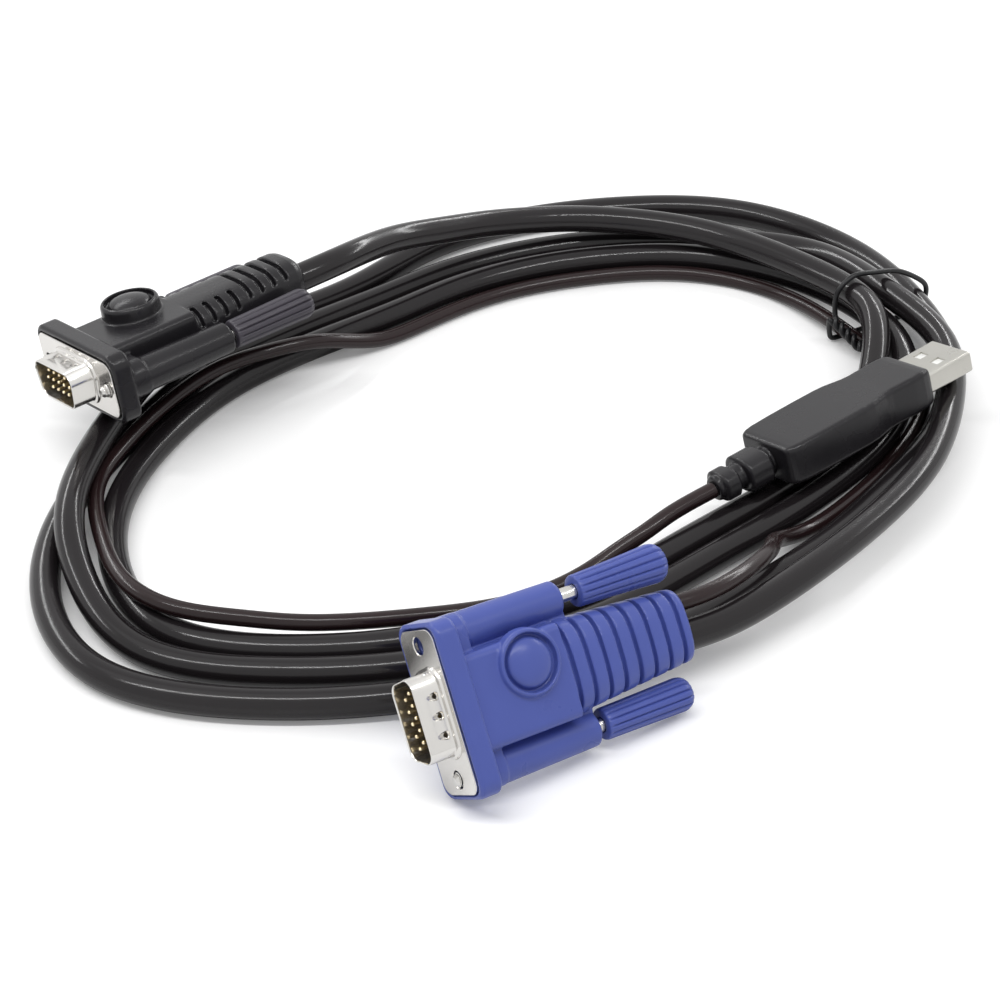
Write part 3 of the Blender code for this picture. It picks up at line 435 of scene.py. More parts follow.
def inset_outline(part, inset, steps=8):
    """The outline of a plate with rounded corners, moved in by inset."""
    return box_outline(part["width"] - 2 * inset, part["height"] - 2 * inset,
                       part["corner"] - inset, steps)


def swollen(value, power):
    """A sine or cosine bent so that an ellipse becomes a fuller oval."""
    return math.copysign(abs(value) ** (2 / power), value)


def oval_outline(width, height, power, steps=64):
    """A full oval between an ellipse and a rectangle."""
    angles = [2 * math.pi * step / steps for step in range(steps)]
    return [(width / 2 * swollen(math.cos(angle), power), height / 2 * swollen(math.sin(angle), power))
            for angle in angles]


def shoulder_outline(width, height, power, first, last, depth):
    """A curved band that cuts a slot of even depth into part of an oval, between two angles."""
    band = []
    for reach, start, end in ((2.0, first, last), (-depth, last, first)):
        for angle in np.radians(np.linspace(start, end, 14)):
            band.append(((width / 2 + reach) * swollen(math.cos(angle), power),
                         (height / 2 + reach) * swollen(math.sin(angle), power)))
    return band


def shell_outline(grow, steps=8):
    """The D outline, wide on the badge side, moved out by grow."""
    half_height = SHELL["height"] / 2 + grow
    half_top = SHELL["width"] / 2 + grow
    half_bottom = half_top - 2 * half_height * math.tan(math.radians(SHELL["slope"]))
    return fillet([(half_bottom, -half_height), (half_top, half_height),
                   (-half_top, half_height), (-half_bottom, -half_height)],
                  max(0.3, SHELL["corner"] + grow), steps)


def circle(radius, steps=48, centre=(0.0, 0.0)):
    return [(centre[0] + radius * math.cos(2 * math.pi * step / steps),
             centre[1] + radius * math.sin(2 * math.pi * step / steps)) for step in range(steps)]


def shifted(outline, y, z=0.0):
    return [(point[0] + y, point[1] + z) for point in outline]


# Meshes

def linked(name, data):
    """A new object of the scene."""
    made = bpy.data.objects.new(name, data)
    bpy.context.scene.collection.objects.link(made)
    return made


def mesh_object(name, builder):
    """An object from a finished bmesh."""
    mesh = bpy.data.meshes.new(name)
    builder.to_mesh(mesh)
    builder.free()
    return linked(name, mesh)


def new_object(name, builder):
    """An object from a finished bmesh, its faces turned outwards."""
    bmesh.ops.recalc_face_normals(builder, faces=builder.faces)
    return mesh_object(name, builder)


def loft(name, sections):
    """A closed solid through outlines of equal count, each at its own X."""
    builder = bmesh.new()
    rings = [[builder.verts.new((x, y, z)) for y, z in outline] for x, outline in sections]
    for last, ring in zip(rings[:-1], rings[1:]):
        for index in range(len(ring)):
            after = (index + 1) % len(ring)
            builder.faces.new((last[index], last[after], ring[after], ring[index]))
    builder.faces.new(rings[0])
    builder.faces.new(rings[-1])
    return new_object(name, builder)


def prism(name, back, front, outline):
    """A straight solid between two places along X."""
    return loft(name, [(back, outline), (front, outline)])


def on_screw_axes(name, steps, profile):
    """Two round solids on the screws' axes, through (x, radius) points."""
    return [loft(name, [(x, circle(radius, steps, (side * SCREW_SPACING / 2, 0)))
                        for x, radius in profile]) for side in (-1, 1)]


def ring_sweep(name, profile, outline_at):
    """A closed ring: a loop of (x, grow) points swept round an outline."""
    builder = bmesh.new()
    rings = [[builder.verts.new((x, y, z)) for y, z in outline_at(grow)] for x, grow in profile]
    for place, ring in enumerate(rings):
        following = rings[(place + 1) % len(rings)]
        for index in range(len(ring)):
            after = (index + 1) % len(ring)
            builder.faces.new((ring[index], ring[after], following[after], following[index]))
    return new_object(name, builder)


def turned(name, profile, centre, steps=64):
    """A solid of revolution about Z from (radius, z) points whose ends are on the axis."""
    builder = bmesh.new()
    rings = []
    for radius, height in profile:
        if radius == 0:
            rings.append([builder.verts.new((centre[0], centre[1], height))])
        else:
            rings.append([builder.verts.new((x, y, height))
                          for x, y in circle(radius, steps, centre)])
    for last, ring in zip(rings[:-1], rings[1:]):
        for index in range(steps):
            corners = []
            for loop, place in ((last, index), (last, index + 1), (ring, index + 1), (ring, index)):
                corner = loop[place % len(loop)]
                if corner not in corners:
                    corners.append(corner)
            builder.faces.new(corners)
    return new_object(name, builder)


def evaluated_mesh(piece):
    """What a piece's modifiers make of it, as a mesh."""
    return bpy.data.meshes.new_from_object(piece.evaluated_get(bpy.context.evaluated_depsgraph_get()))


def settle(piece):
    """Replace a piece's mesh by what its modifiers make of it."""
    mesh = evaluated_mesh(piece)
    piece.modifiers.clear()
    piece.data = mesh
    return piece


def combine(target, tools, operation):
    """Join tools to a target, or cut them out, and remove them."""
    for tool in tools:
        step = target.modifiers.new("Step", "BOOLEAN")
        step.operation = operation
        step.solver = "EXACT"
        step.object = tool
    settle(target)
    for tool in tools:
        bpy.data.objects.remove(tool, do_unlink=True)
    return target


def moulded(piece, step):
    """Even out a solid into one skin whose edges are softly rounded."""
    remesh = piece.modifiers.new("Skin", "REMESH")
    remesh.mode = "VOXEL"
    remesh.voxel_size = step
    smooth = piece.modifiers.new("Soft edges", "SMOOTH")
    smooth.factor = 0.5
    smooth.iterations = 2
    return settle(piece)


def joined(name, pieces):
    """Several pieces made one."""
    builder = bmesh.new()
    for piece in pieces:
        builder.from_mesh(piece.data)
        bpy.data.objects.remove(piece, do_unlink=True)
    return mesh_object(name, builder)


def plug_matrix(plug):
    """From a plug's own frame in millimetres to the model in metres."""
    heading, pitch, roll = (math.radians(value) for value in PLUGS[plug]["turn"])
    turn = Euler((roll, -pitch, heading)).to_matrix().to_4x4()
    return Matrix.Translation(Vector(PLUGS[plug]["place"]) * MM) @ turn @ Matrix.Scale(MM, 4)


def paint(piece, name):
    """Give a piece one finish."""
    piece.data.materials.clear()
    piece.data.materials.append(finish(name))


def put_in_place(piece, matrix, coat, body, nodes, sharp):
    """Place, shade and paint a finished piece, hang it under its body and hide the parts it replaces."""
    piece.data.transform(matrix)
    piece.data.shade_smooth()
    if sharp:
        piece.data.set_sharp_from_angle(angle=math.radians(sharp))
    paint(piece, coat)
    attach(piece, body)
    if nodes:
        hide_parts(*nodes)
    return piece


# Routes

def on_coil(route):
    """Points in millimetres of a route given in angles, radii and heights."""
    return [Vector((COIL_MIDDLE[0] + radius * math.cos(math.radians(angle)),
                    COIL_MIDDLE[1] + radius * math.sin(math.radians(angle)), height))
            for angle, radius, height in route]


def in_plug(plug, x, y):
    """A point of a plug's frame, in millimetres of the model."""
    return plug_matrix(plug) @ Vector((x, y, 0)) / MM


def smooth_curve(points, spacing):
    """Evenly spaced points on the natural cubic curve through the given ones."""
    fixed = np.array([tuple(point) for point in points])
    steps = np.linalg.norm(np.diff(fixed, axis=0), axis=1) ** 0.5
    knots = np.concatenate(([0.0], np.cumsum(steps)))
    size = len(fixed)
    matrix = np.eye(size)
    right = np.zeros((size, 3))
    for index in range(1, size - 1):
        before = steps[index - 1]
        after = steps[index]
        matrix[index, index - 1:index + 2] = (before, 2 * (before + after), after)
        right[index] = 6 * ((fixed[index + 1] - fixed[index]) / after
                            - (fixed[index] - fixed[index - 1]) / before)
    bend = np.linalg.solve(matrix, right)

    def at(places):
        spans = np.clip(np.searchsorted(knots, places, side="right") - 1, 0, size - 2)
        step = steps[spans][:, None]
        low = (knots[spans + 1] - places)[:, None] / step
        high = 1 - low
        bent = (low ** 3 - low) * bend[spans] + (high ** 3 - high) * bend[spans + 1]
        return low * fixed[spans] + high * fixed[spans + 1] + bent * step ** 2 / 6

    dense = np.linspace(0, knots[-1], 8000)
    along = np.concatenate(([0.0], np.cumsum(np.linalg.norm(np.diff(at(dense), axis=0), axis=1))))
    count = max(2, int(round(along[-1] / spacing)))
    return at(np.interp(np.linspace(0, along[-1], count + 1), along, dense)), float(along[-1])


# Geometry Nodes

def geometry_tree(name, inputs, shape):
    """A tree, made once, that paints the geometry which a shape function makes of its inputs."""
    if name in bpy.data.node_groups:
        return bpy.data.node_groups[name]
    tree = bpy.data.node_groups.new(name, "GeometryNodeTree")
    for label, kind in {"Geometry": "Geometry", **inputs, "Material": "Material"}.items():
        tree.interface.new_socket(label, in_out="INPUT", socket_type="NodeSocket" + kind)
    tree.interface.new_socket("Geometry", in_out="OUTPUT", socket_type="NodeSocketGeometry")
    given = tree.nodes.new("NodeGroupInput").outputs
    whole = add_node(tree, "GeometryNodeRealizeInstances", Geometry=shape(tree, given))
    painted = add_node(tree, "GeometryNodeSetMaterial", Geometry=whole.outputs["Geometry"],
                       Material=given["Material"])
    add_node(tree, "NodeGroupOutput", Geometry=painted.outputs["Geometry"])
    return tree


def grow(piece, tree, values):
    """Run a tree on a piece and keep its result as a plain mesh object."""
    step = piece.modifiers.new("Nodes", "NODES")
    step.node_group = tree
    for item in tree.interface.items_tree:
        if item.item_type == "SOCKET" and item.in_out == "INPUT" and item.name in values:
            step[item.identifier] = values[item.name]
    name = piece.name
    made = linked(name + "_mesh", evaluated_mesh(piece))
    bpy.data.objects.remove(piece, do_unlink=True)
    made.name = name
    return made


def stored(tree, geometry, name, measure):
    """A curve whose points keep a measure of where they lie on it."""
    place = tree.nodes.new("GeometryNodeSplineParameter").outputs[measure]
    return add_node(tree, "GeometryNodeStoreNamedAttribute", data_type="FLOAT", domain="POINT",
                    Geometry=geometry, Name=name, Value=place).outputs["Geometry"]


def swept(tree, curve, profile):
    return add_node(tree, "GeometryNodeCurveToMesh", Fill_Caps=True, Curve=curve,
                    Profile_Curve=profile).outputs["Mesh"]


def tube_shape(tree, given):
    """A round tube along a curve, which stores where a point lies along and around it."""
    ring = add_node(tree, "GeometryNodeCurvePrimitiveCircle", Resolution=given["Sides"],
                    Radius=given["Radius"])
    return swept(tree, stored(tree, given["Geometry"], "along", "Length"),
                 stored(tree, ring.outputs["Curve"], "around", "Factor"))


def transformed(tree, geometry, **by):
    return add_node(tree, "GeometryNodeTransform", Geometry=geometry, **by).outputs["Geometry"]


def contact_shape(tree, given):
    """One round-nosed contact on each point, lying along X from its point."""
    shank = add_node(tree, "GeometryNodeMeshCylinder", Vertices=20, Radius=given["Radius"],
                     Depth=given["Length"])
    nose = add_node(tree, "GeometryNodeMeshUVSphere", Segments=20, Rings=10, Radius=given["Radius"])
    half = math_node(tree, "MULTIPLY", given["Length"], 0.5)
    up = add_node(tree, "ShaderNodeCombineXYZ", Z=half).outputs["Vector"]
    both = tree.nodes.new("GeometryNodeJoinGeometry")
    for part in (shank.outputs["Mesh"], transformed(tree, nose.outputs["Mesh"], Translation=up)):
        tree.links.new(part, both.inputs["Geometry"])
    standing = transformed(tree, both.outputs["Geometry"], Translation=up)
    laid = transformed(tree, standing, Rotation=(0, math.radians(90), 0))
    return add_node(tree, "GeometryNodeInstanceOnPoints", Points=given["Geometry"],
                    Instance=laid).outputs["Instances"]


def thread_shape(tree, given):
    """A V thread wound up the Z axis."""
    helix = add_node(tree, "GeometryNodeCurveSpiral", Resolution=20, Start_Radius=given["Radius"],
                     End_Radius=given["Radius"], Height=given["Length"], Rotations=given["Turns"])
    ridge = add_node(tree, "GeometryNodeCurvePrimitiveCircle", Resolution=4, Radius=given["Ridge"])
    return swept(tree, helix.outputs["Curve"], ridge.outputs["Curve"])


def curve_object(name, points):
    """A poly spline through points, in metres."""
    curve = bpy.data.curves.new(name, "CURVE")
    curve.dimensions = "3D"
    spline = curve.splines.new("POLY")
    spline.points.add(len(points) - 1)
    for place, point in zip(spline.points, points):
        place.co = (*point, 1.0)
    return linked(name, curve)


def tube(name, points, diameter, sides, material):
    """A round tube mesh along points in metres."""
    tree = geometry_tree("Tube along a curve", {"Radius": "Float", "Sides": "Int"}, tube_shape)
    values = {"Radius": diameter / 2, "Sides": sides, "Material": material}
    return grow(curve_object(name, points), tree, values)


# Operators

class SWITCHCABLE_OT_cables(bpy.types.Operator):
    """Make the thick cable and the thin lead."""

    bl_idname = "switchcable.cables"
    bl_label = "Cables"

    def execute(self, context):
        sizes = context.scene.switch_cables
        route = [in_plug("black", BLACK_END, 0), in_plug("black", BLACK_END - CABLE_STRAIGHT, 0),
                 *on_coil(CABLE_ROUTE),
                 in_plug("blue", BLUE_END - CABLE_STRAIGHT, CABLE_EXIT),
                 in_plug("blue", BLUE_END, CABLE_EXIT)]
        self.lay("thick_cable", route, sizes.cable_diameter, sizes.sides, "jacket", "main_cable")
        route = [in_plug("blue", BLUE_END, LEAD_EXIT),
                 in_plug("blue", BLUE_END - LEAD_STRAIGHT, LEAD_EXIT),
                 *on_coil(LEAD_ROUTE),
                 in_plug("usb", USB_END - LEAD_STRAIGHT, 0), in_plug("usb", USB_END, 0)]
        self.lay("thin_lead", route, sizes.lead_diameter, sizes.sides - 8, "lead_jacket", "usb_lead")
        return {"FINISHED"}

    def lay(self, name, route, diameter, sides, coat, node):
        points, length = smooth_curve(route, CABLE_SPACING)
        points = points * MM
        piece = tube(name, points, diameter, sides, finish(coat))
        put_in_place(piece, Matrix.Identity(4), coat, "root", [node], 50)
        tuple(points[0])
        [tuple(point) for point in points]


class SWITCHCABLE_OT_tie(bpy.types.Operator):
    """Make the wire tie that holds the coil."""

    bl_idname = "switchcable.tie"
    bl_label = "Tie"

    def execute(self, context):
        outward = Vector((math.cos(math.radians(TIE_ANGLE)), math.sin(math.radians(TIE_ANGLE)), 0))
        across = Vector((-outward.y, outward.x, 0))
        middle = Vector((*COIL_MIDDLE, 0))

        def place(radius, height, side=0.0):
            return middle + outward * radius + across * side + Vector((0, 0, height))

        def twist(phase, along):
            angle = 2 * math.pi * TIE_TWIST_TURNS * along + phase
            radius = TIE_TWIST_START[0] + TIE_TWIST_LEAN[0] * along
            height = TIE_TWIST_START[1] + TIE_TWIST_LEAN[1] * along
            return place(radius + TIE_TWIST_RADIUS * math.cos(angle),
                         height + TIE_TWIST_RADIUS * math.sin(angle),
                         -TIE_TWIST_SETBACK - TIE_TWIST_LENGTH * along)

        places = [step / TIE_TWIST_STEPS for step in range(TIE_TWIST_STEPS + 1)]
        route = [twist(math.pi, 1 - along) for along in places]
        route += [place(radius, height) for radius, height in TIE_ROUTE]
        route += [twist(0.0, along) for along in places]
        points, _ = smooth_curve(route, TIE_SPACING)
        diameter = context.scene.switch_cables.tie_diameter
        piece = tube("wire_tie", points * MM, diameter, 16, finish("tie"))
        put_in_place(piece, Matrix.Identity(4), "tie", "root", ["cable_tie"], 50)
        return {"FINISHED"}


def relief_size(relief, x, hood_end):
    """Width and height of a relief at a place along its plug."""
    along = (x - RELIEF_START) / (hood_end - RELIEF_START)
    return relief["width"] - relief["narrows"] * along, relief["height"] - relief["lowers"] * along


def blue_relief(hood_end, ribs):
    """Tapered relief with a groove between each two ribs."""
    pitch = (hood_end + LAST_GROOVE_MARGIN - FIRST_GROOVE) / (ribs - 1)

    def outline(x, inset):
        width, height = relief_size(BLUE_RELIEF, x, hood_end)
        return oval_outline(width - 2 * inset, height - 2 * inset, BLUE_RELIEF["power"])

    sections = [(RELIEF_START, outline(RELIEF_START, 0))]
    for index in range(ribs):
        front = FIRST_GROOVE + index * pitch
        back = front - GROOVE_WIDTH
        sections += [(front, outline(front, 0)), (front - 0.02, outline(front, GROOVE_DEPTH)),
                     (back + 0.02, outline(back, GROOVE_DEPTH)), (back, outline(back, 0))]
    sections += [(hood_end + 0.6, outline(hood_end, 0)), (hood_end, outline(hood_end, 0.6))]
    return loft("relief", sections), []


def black_relief(hood_end, _ribs):
    """Smooth relief with four slots in each shoulder and then four across its top."""
    power = BLACK_RELIEF["power"]

    def lifted(x, outline):
        lift = BLACK_RELIEF["lift"] * (x - RELIEF_START) / (hood_end - RELIEF_START)
        return shifted(outline, 0, lift)

    def section(x, inset):
        width, height = relief_size(BLACK_RELIEF, x, hood_end)
        return x, lifted(x, oval_outline(width - 2 * inset, height - 2 * inset, power))

    def slot(front, first, last):
        width, height = relief_size(BLACK_RELIEF, front, hood_end)
        cutter = lifted(front, shoulder_outline(width, height, power, first, last, SLOT_DEPTH))
        return prism("slot", front - SLOT_WIDTH, front, cutter)

    ending = ((2.0, 0), (0.8, 0.35), (0.2, 0.9), (0, 1.5))
    relief = loft("relief", [section(RELIEF_START, 0),
                             *(section(hood_end + before, inset) for before, inset in ending)])
    slots = []
    for index in range(SLOT_COUNT):
        front = FIRST_SLOT - index * SLOT_PITCH
        slots += [slot(front, 12, 66), slot(front, 114, 168), slot(front - TOP_SLOT_SETBACK, 22, 158)]
    return relief, slots


class SWITCHCABLE_OT_hoods(bpy.types.Operator):
    """Mould the hoods of the two 15-pin plugs."""

    bl_idname = "switchcable.hoods"
    bl_label = "Hoods"

    def execute(self, context):
        sizes = context.scene.switch_plugs
        self.mould("blue", blue_relief, BLUE_END + SEAT_GAP, sizes)
        self.mould("black", black_relief, BLACK_END + SEAT_GAP, sizes)
        return {"FINISHED"}

    def mould(self, plug, relief_maker, hood_end, sizes):
        solids = self.blocks()
        relief, slots = relief_maker(hood_end, sizes.ribs)
        hood = combine(self.flange(plug), [*solids, relief], "UNION")
        self.badge(hood, HOOD_HALF_HEIGHT + BADGE_RISES[plug])
        combine(hood, [*slots, *self.openings()], "DIFFERENCE")
        moulded(hood, sizes.moulding)
        coat = plug + "_plastic"
        put_in_place(hood, plug_matrix(plug), coat, "root", [plug + "_hood"], 0)

    def flange(self, plug):
        back = -FLANGE["thick"]
        profile = ((back, FLANGE_EDGE), (FLANGE_EDGE + back, 0), (-FLANGE_EDGE, 0), (0, FLANGE_EDGE))
        return loft(plug + "_hood_skin", [(x, inset_outline(FLANGE, inset)) for x, inset in profile])

    def blocks(self):
        """The body, the web, the block behind the flange and the screw barrels."""
        front = OVERLAP - FLANGE["thick"]
        panel = box_outline(2 * HOOD_HALF_WIDTH, 2 * HOOD_HALF_HEIGHT, 1.4)
        web = box_outline(SCREW_SPACING, WEB["height"], 1.0)
        neck = box_outline(SCREW_SPACING + 2 * BARREL_RADIUS, NECK["height"], 3.6)
        solids = [prism("block", tail, front, outline) for tail, outline in
                  ((PANEL_TAIL, panel), (WEB["tail"], web), (NECK["tail"], neck))]
        return solids + on_screw_axes("barrel", 48, (
            (-BARREL_LENGTH, BARREL_RADIUS - 0.9), (0.5 - BARREL_LENGTH, BARREL_RADIUS - 0.4),
            (front, BARREL_RADIUS)))

    def badge(self, hood, rim):
        """A round boss with a groove and a domed disc."""
        ring = BADGE_DISC + 0.95
        boss = [(0, 5.0), (BADGE_BOSS + 0.25, 5.0), (BADGE_BOSS, rim - 0.6),
                (BADGE_BOSS - 0.25, rim - 0.15), (BADGE_BOSS - 0.6, rim), (0, rim)]
        groove = [(0, rim - 1.5), (ring - 0.1, rim - 1.5), (ring, rim + 2), (0, rim + 2)]
        dome = [(BADGE_DISC * math.cos(angle), rim - 0.9 + 1.5 * math.sin(angle))
                for angle in np.linspace(0.0, math.pi / 2, 12)[:-1]]
        disc = [(0, rim - 2.0), (BADGE_DISC, rim - 2.0), *dome, (0, rim + 0.6)]
        for profile, operation in ((boss, "UNION"), (groove, "DIFFERENCE"), (disc, "UNION")):
            combine(hood, [turned("badge", profile, BADGE_PLACE)], operation)

    def openings(self):
        """The seat of the plate, the pocket of the contacts and the bores of the screws."""
        bore = SCREW_RADIUS + SCREW_PLAY
        return [prism("recess", PLATE_SEAT["depth"], 1, inset_outline(PLATE_SEAT, 0)),
                prism("pocket", CONTACT_POCKET, 1, shell_outline(0)),
                *on_screw_axes("bore", 32, ((-BARREL_LENGTH - 1, bore), (1, bore)))]


class SWITCHCABLE_OT_front_shells(bpy.types.Operator):
    """Press the front plates and D collars of the 15-pin plugs."""

    bl_idname = "switchcable.front_shells"
    bl_label = "Front shells"

    def execute(self, context):
        for plug in ("blue", "black"):
            name = plug + "_front_shell"
            shell = joined(name + "_skin", [self.plate(name + "_skin"), self.collar()])
            put_in_place(shell, plug_matrix(plug), "nickel", "root", [name], 28)
        return {"FINISHED"}

    def plate(self, name):
        front = PLATE["proud"]
        back = front - PLATE["thick"]
        profile = ((back, 0), (front - PLATE_EDGE, 0), (front - 0.3 * PLATE_EDGE, PLATE_EDGE),
                   (front, PLATE_EDGE))
        plate = loft(name, [(x, inset_outline(PLATE, inset, 10)) for x, inset in profile])
        opening = shell_outline(-0.2, 10)
        inner, outer = HOLE_RADII
        hole = ((back - 1, inner), (front - 0.15, inner), (front + 0.15, outer), (front + 1, outer))
        cuts = [prism("opening", back - 1, front + 1, opening), *on_screw_axes("hole", 40, hole)]
        return combine(plate, cuts, "DIFFERENCE")

    def collar(self):
        front = PLATE["proud"]
        wall = SHELL["wall"]
        length = SHELL["length"]
        profile = [(front - 0.3, 1.0), (front + 0.05, 0.95), (front + 0.42, 0.72),
                   (front + 0.52, 0.45), (front + 0.62, 0.14), (front + 0.9, 0.0),
                   (length - 0.25, 0.0), (length - 0.08, -0.05), (length, -0.17),
                   (length - 0.04, -0.32), (length - 0.2, -wall + 0.02), (length - 0.4, -wall),
                   (front - 0.3, -wall)]
        collar = ring_sweep("collar", profile, lambda grown: shell_outline(grown, 12))
        top = SHELL["height"] / 2
        dents = [loft("dent", [(x, shifted(circle(radius, 20), place * DENT_PITCH, top + rise))
                               for x, radius, rise in DENT]) for place in (-1, 0, 1)]
        return combine(collar, dents, "DIFFERENCE")


class SWITCHCABLE_OT_contacts(bpy.types.Operator):
    """Set the contacts in the 15-pin plugs."""

    bl_idname = "switchcable.contacts"
    bl_label = "Contacts"

    def execute(self, context):
        sizes = context.scene.switch_plugs
        foot = CONTACT_FOOT * MM
        radius = sizes.pin_diameter / 2
        tree = geometry_tree("Contacts on points", {"Radius": "Float", "Length": "Float"}, contact_shape)
        for plug in ("blue", "black"):
            builder = bmesh.new()
            for row in range(3):
                stagger = sizes.pin_pitch / 2 if row % 2 else 0.0
                for column in range(5):
                    across = (column - 2) * sizes.pin_pitch - stagger + sizes.pin_pitch / 4
                    builder.verts.new((foot, across, (1 - row) * sizes.pin_row_pitch))
            points = new_object(plug + "_contacts", builder)
            pins = grow(points, tree, {"Radius": radius, "Length": CONTACT_TIP * MM - foot - radius,
                                       "Material": finish("gold")})
            nodes = ["%s_pin_%02d" % (plug, number) for number in range(1, 16)]
            place = plug_matrix(plug) @ Matrix.Scale(1 / MM, 4)
            put_in_place(pins, place, "gold", "root", nodes, 50)
        return {"FINISHED"}


def fluted(radius, depth, steps=168):
    """A round outline with soft flutes."""
    points = []
    for step in range(steps):
        angle = 2 * math.pi * step / steps
        size = radius - depth * max(0.0, math.cos(FLUTE_COUNT * angle)) ** 2.5
        points.append((size * math.cos(angle), size * math.sin(angle)))
    return points


class SWITCHCABLE_OT_thumbscrews(bpy.types.Operator):
    """Make the four thumbscrews: fluted knobs on threaded screws."""

    bl_idname = "switchcable.thumbscrews"
    bl_label = "Thumbscrews"

    def execute(self, context):
        pitch = context.scene.switch_plugs.thread_pitch
        for plug, coat in (("blue", "blue_plastic"), ("black", "grey_plastic")):
            for end, side in KNOB_SIDES.items():
                name = plug + "_" + end
                across = side * SCREW_SPACING / 2
                axis = plug_matrix(plug) @ Matrix.Translation((KNOB_FRONTS[name], across, 0))
                body = name + "_thumbscrew"
                put_in_place(self.knob(name), axis, coat, body, [name + "_knob"], 40)
                screw = self.screw(name, pitch)
                put_in_place(screw, axis, "steel", body, [name + "_screw"], 35)
        return {"FINISHED"}

    def knob(self, name):
        """A fluted knob with a rounded end and a socket for its screw."""
        flare = KNOB_FLARES[name]
        profile = [(0.0, 2.7, 0.0), (0.12, 2.95, 0.0), (0.4, 3.08, 0.05), (1.0, KNOB_RADIUS, 0.3)]
        for step in range(1, 11):
            along = step / 10
            profile.append((1.0 + along * (KNOB_LENGTH - 3.2), KNOB_RADIUS + flare * along ** 1.3,
                            FLUTE_DEPTH))
        for angle in np.linspace(0.15, math.pi / 2, 7):
            profile.append((KNOB_LENGTH - KNOB_ROUNDING + KNOB_ROUNDING * math.sin(angle),
                            KNOB_RADIUS + flare - 1.5 * (1 - math.cos(angle)),
                            FLUTE_DEPTH * math.cos(angle)))
        knob = loft(name + "_knob_skin", [(-x, fluted(radius, depth)) for x, radius, depth in profile])
        bore = circle(SCREW_RADIUS + 0.15, 32)
        return combine(knob, [prism("socket", KNOB_SOCKET, 1, bore)], "DIFFERENCE")

    def screw(self, name, pitch):
        """A screw with a turned point and a real thread."""
        neck = SCREW_REACH - THREADED
        rod = loft(name + "_screw_skin",
                   [(x, circle(radius, 32)) for x, radius in
                    ((SCREW_TAIL, SHANK_RADIUS), (neck - 0.4, SHANK_RADIUS), (neck, CORE_RADIUS),
                     (SCREW_REACH - 0.5, CORE_RADIUS), (SCREW_REACH, CORE_RADIUS - 0.45))])
        length = (THREADED - THREAD_PLAIN) * MM
        tree = geometry_tree("Screw thread", {"Radius": "Float", "Length": "Float", "Turns": "Float",
                                              "Ridge": "Float"}, thread_shape)
        thread = grow(new_object("thread", bmesh.new()), tree,
                      {"Radius": CORE_RADIUS * MM, "Length": length, "Turns": length / pitch,
                       "Ridge": THREAD_RIDGE * MM, "Material": finish("steel")})
        laid = Matrix.Translation((neck + 0.2, 0, 0)) @ Matrix.Rotation(math.radians(90), 4, "Y")
        thread.data.transform(laid @ Matrix.Scale(1 / MM, 4))
        return joined(name + "_screw_skin", [rod, thread])


class SWITCHCABLE_OT_usb_plug(bpy.types.Operator):
    """Make the USB plug's moulded body and folded shell."""

    bl_idname = "switchcable.usb_plug"
    bl_label = "USB plug"

    def execute(self, context):
        sizes = context.scene.switch_usb
        self.mould(sizes)
        self.fold(sizes)
        paint(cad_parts["usb_tongue"], "tongue")
        for number in range(1, 5):
            paint(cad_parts["usb_contact_%d" % number], "gold")
        return {"FINISHED"}

    def mould(self, sizes):
        body = loft("usb_body_skin", [(x, box_outline(width, height, 1.0))
                                      for x, width, height in USB_BODY])
        solids = [loft("neck", [(x, circle(radius, 40)) for x, radius in USB_NECK])]
        for front, back, width, height in USB_COLLARS:
            full = oval_outline(width, height, 2.8)
            small = oval_outline(width - 1.1, height - 1.1, 2.8)
            solids.append(loft("collar", [(back, small), (back + 0.45, full), (front - 0.45, full),
                                          (front, small)]))
        combine(body, solids, "UNION")
        opening = box_outline(sizes.width / MM + 0.4, sizes.height / MM + 0.4, 0.8)
        combine(body, [prism("pocket", USB_POCKET, 1, opening)], "DIFFERENCE")
        moulded(body, sizes.moulding)
        put_in_place(body, plug_matrix("usb"), "black_plastic", "root", ["usb_body"], 0)

    def fold(self, sizes):
        width, height, length, wall, window = (
            size / MM for size in (sizes.width, sizes.height, sizes.length, sizes.wall, sizes.window))

        def outline(grown):
            return box_outline(width + 2 * grown, height + 2 * grown, max(0.12, 0.65 + grown), 8)

        profile = [(USB_SHELL_BACK, 0.0), (length - 0.3, 0.0), (length - 0.08, -0.04), (length, -0.13),
                   (length - 0.03, -0.26), (length - 0.15, -wall), (USB_SHELL_BACK, -wall)]
        shell = ring_sweep("usb_shell_skin", profile, outline)
        cuts = []
        for side in (-1, 1):
            hole = shifted(box_outline(window, height + 2, 0.12), side * USB_WINDOW_SIDE)
            cuts.append(prism("window", USB_WINDOW_FRONT - window, USB_WINDOW_FRONT, hole))
        combine(shell, cuts, "DIFFERENCE")
        put_in_place(shell, plug_matrix("usb"), "tinned", "root", ["usb_shell"], 28)
        # A white sheet just under the windows stands for light falling through them onto the tongue. It
        # is painted light; the plug has no such piece.
        lit_sheet_outline = shifted(box_outline(width - 3.0, 0.5, 0.1), 0, height / 2 - wall - 0.25)
        painted_light_sheet = prism("usb_window_packing", *USB_PAINTED_LIGHT_SHEET, lit_sheet_outline)
        put_in_place(painted_light_sheet, plug_matrix("usb"), "tongue", "root", [], 28)


class SWITCHCABLE_OT_insulators(bpy.types.Operator):
    """Finish the dark insulators that hold the contacts."""

    bl_idname = "switchcable.insulators"
    bl_label = "Insulators"

    def execute(self, context):
        for plug in ("blue", "black"):
            paint(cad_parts[plug + "_insulator"], "insulator")
        return {"FINISHED"}


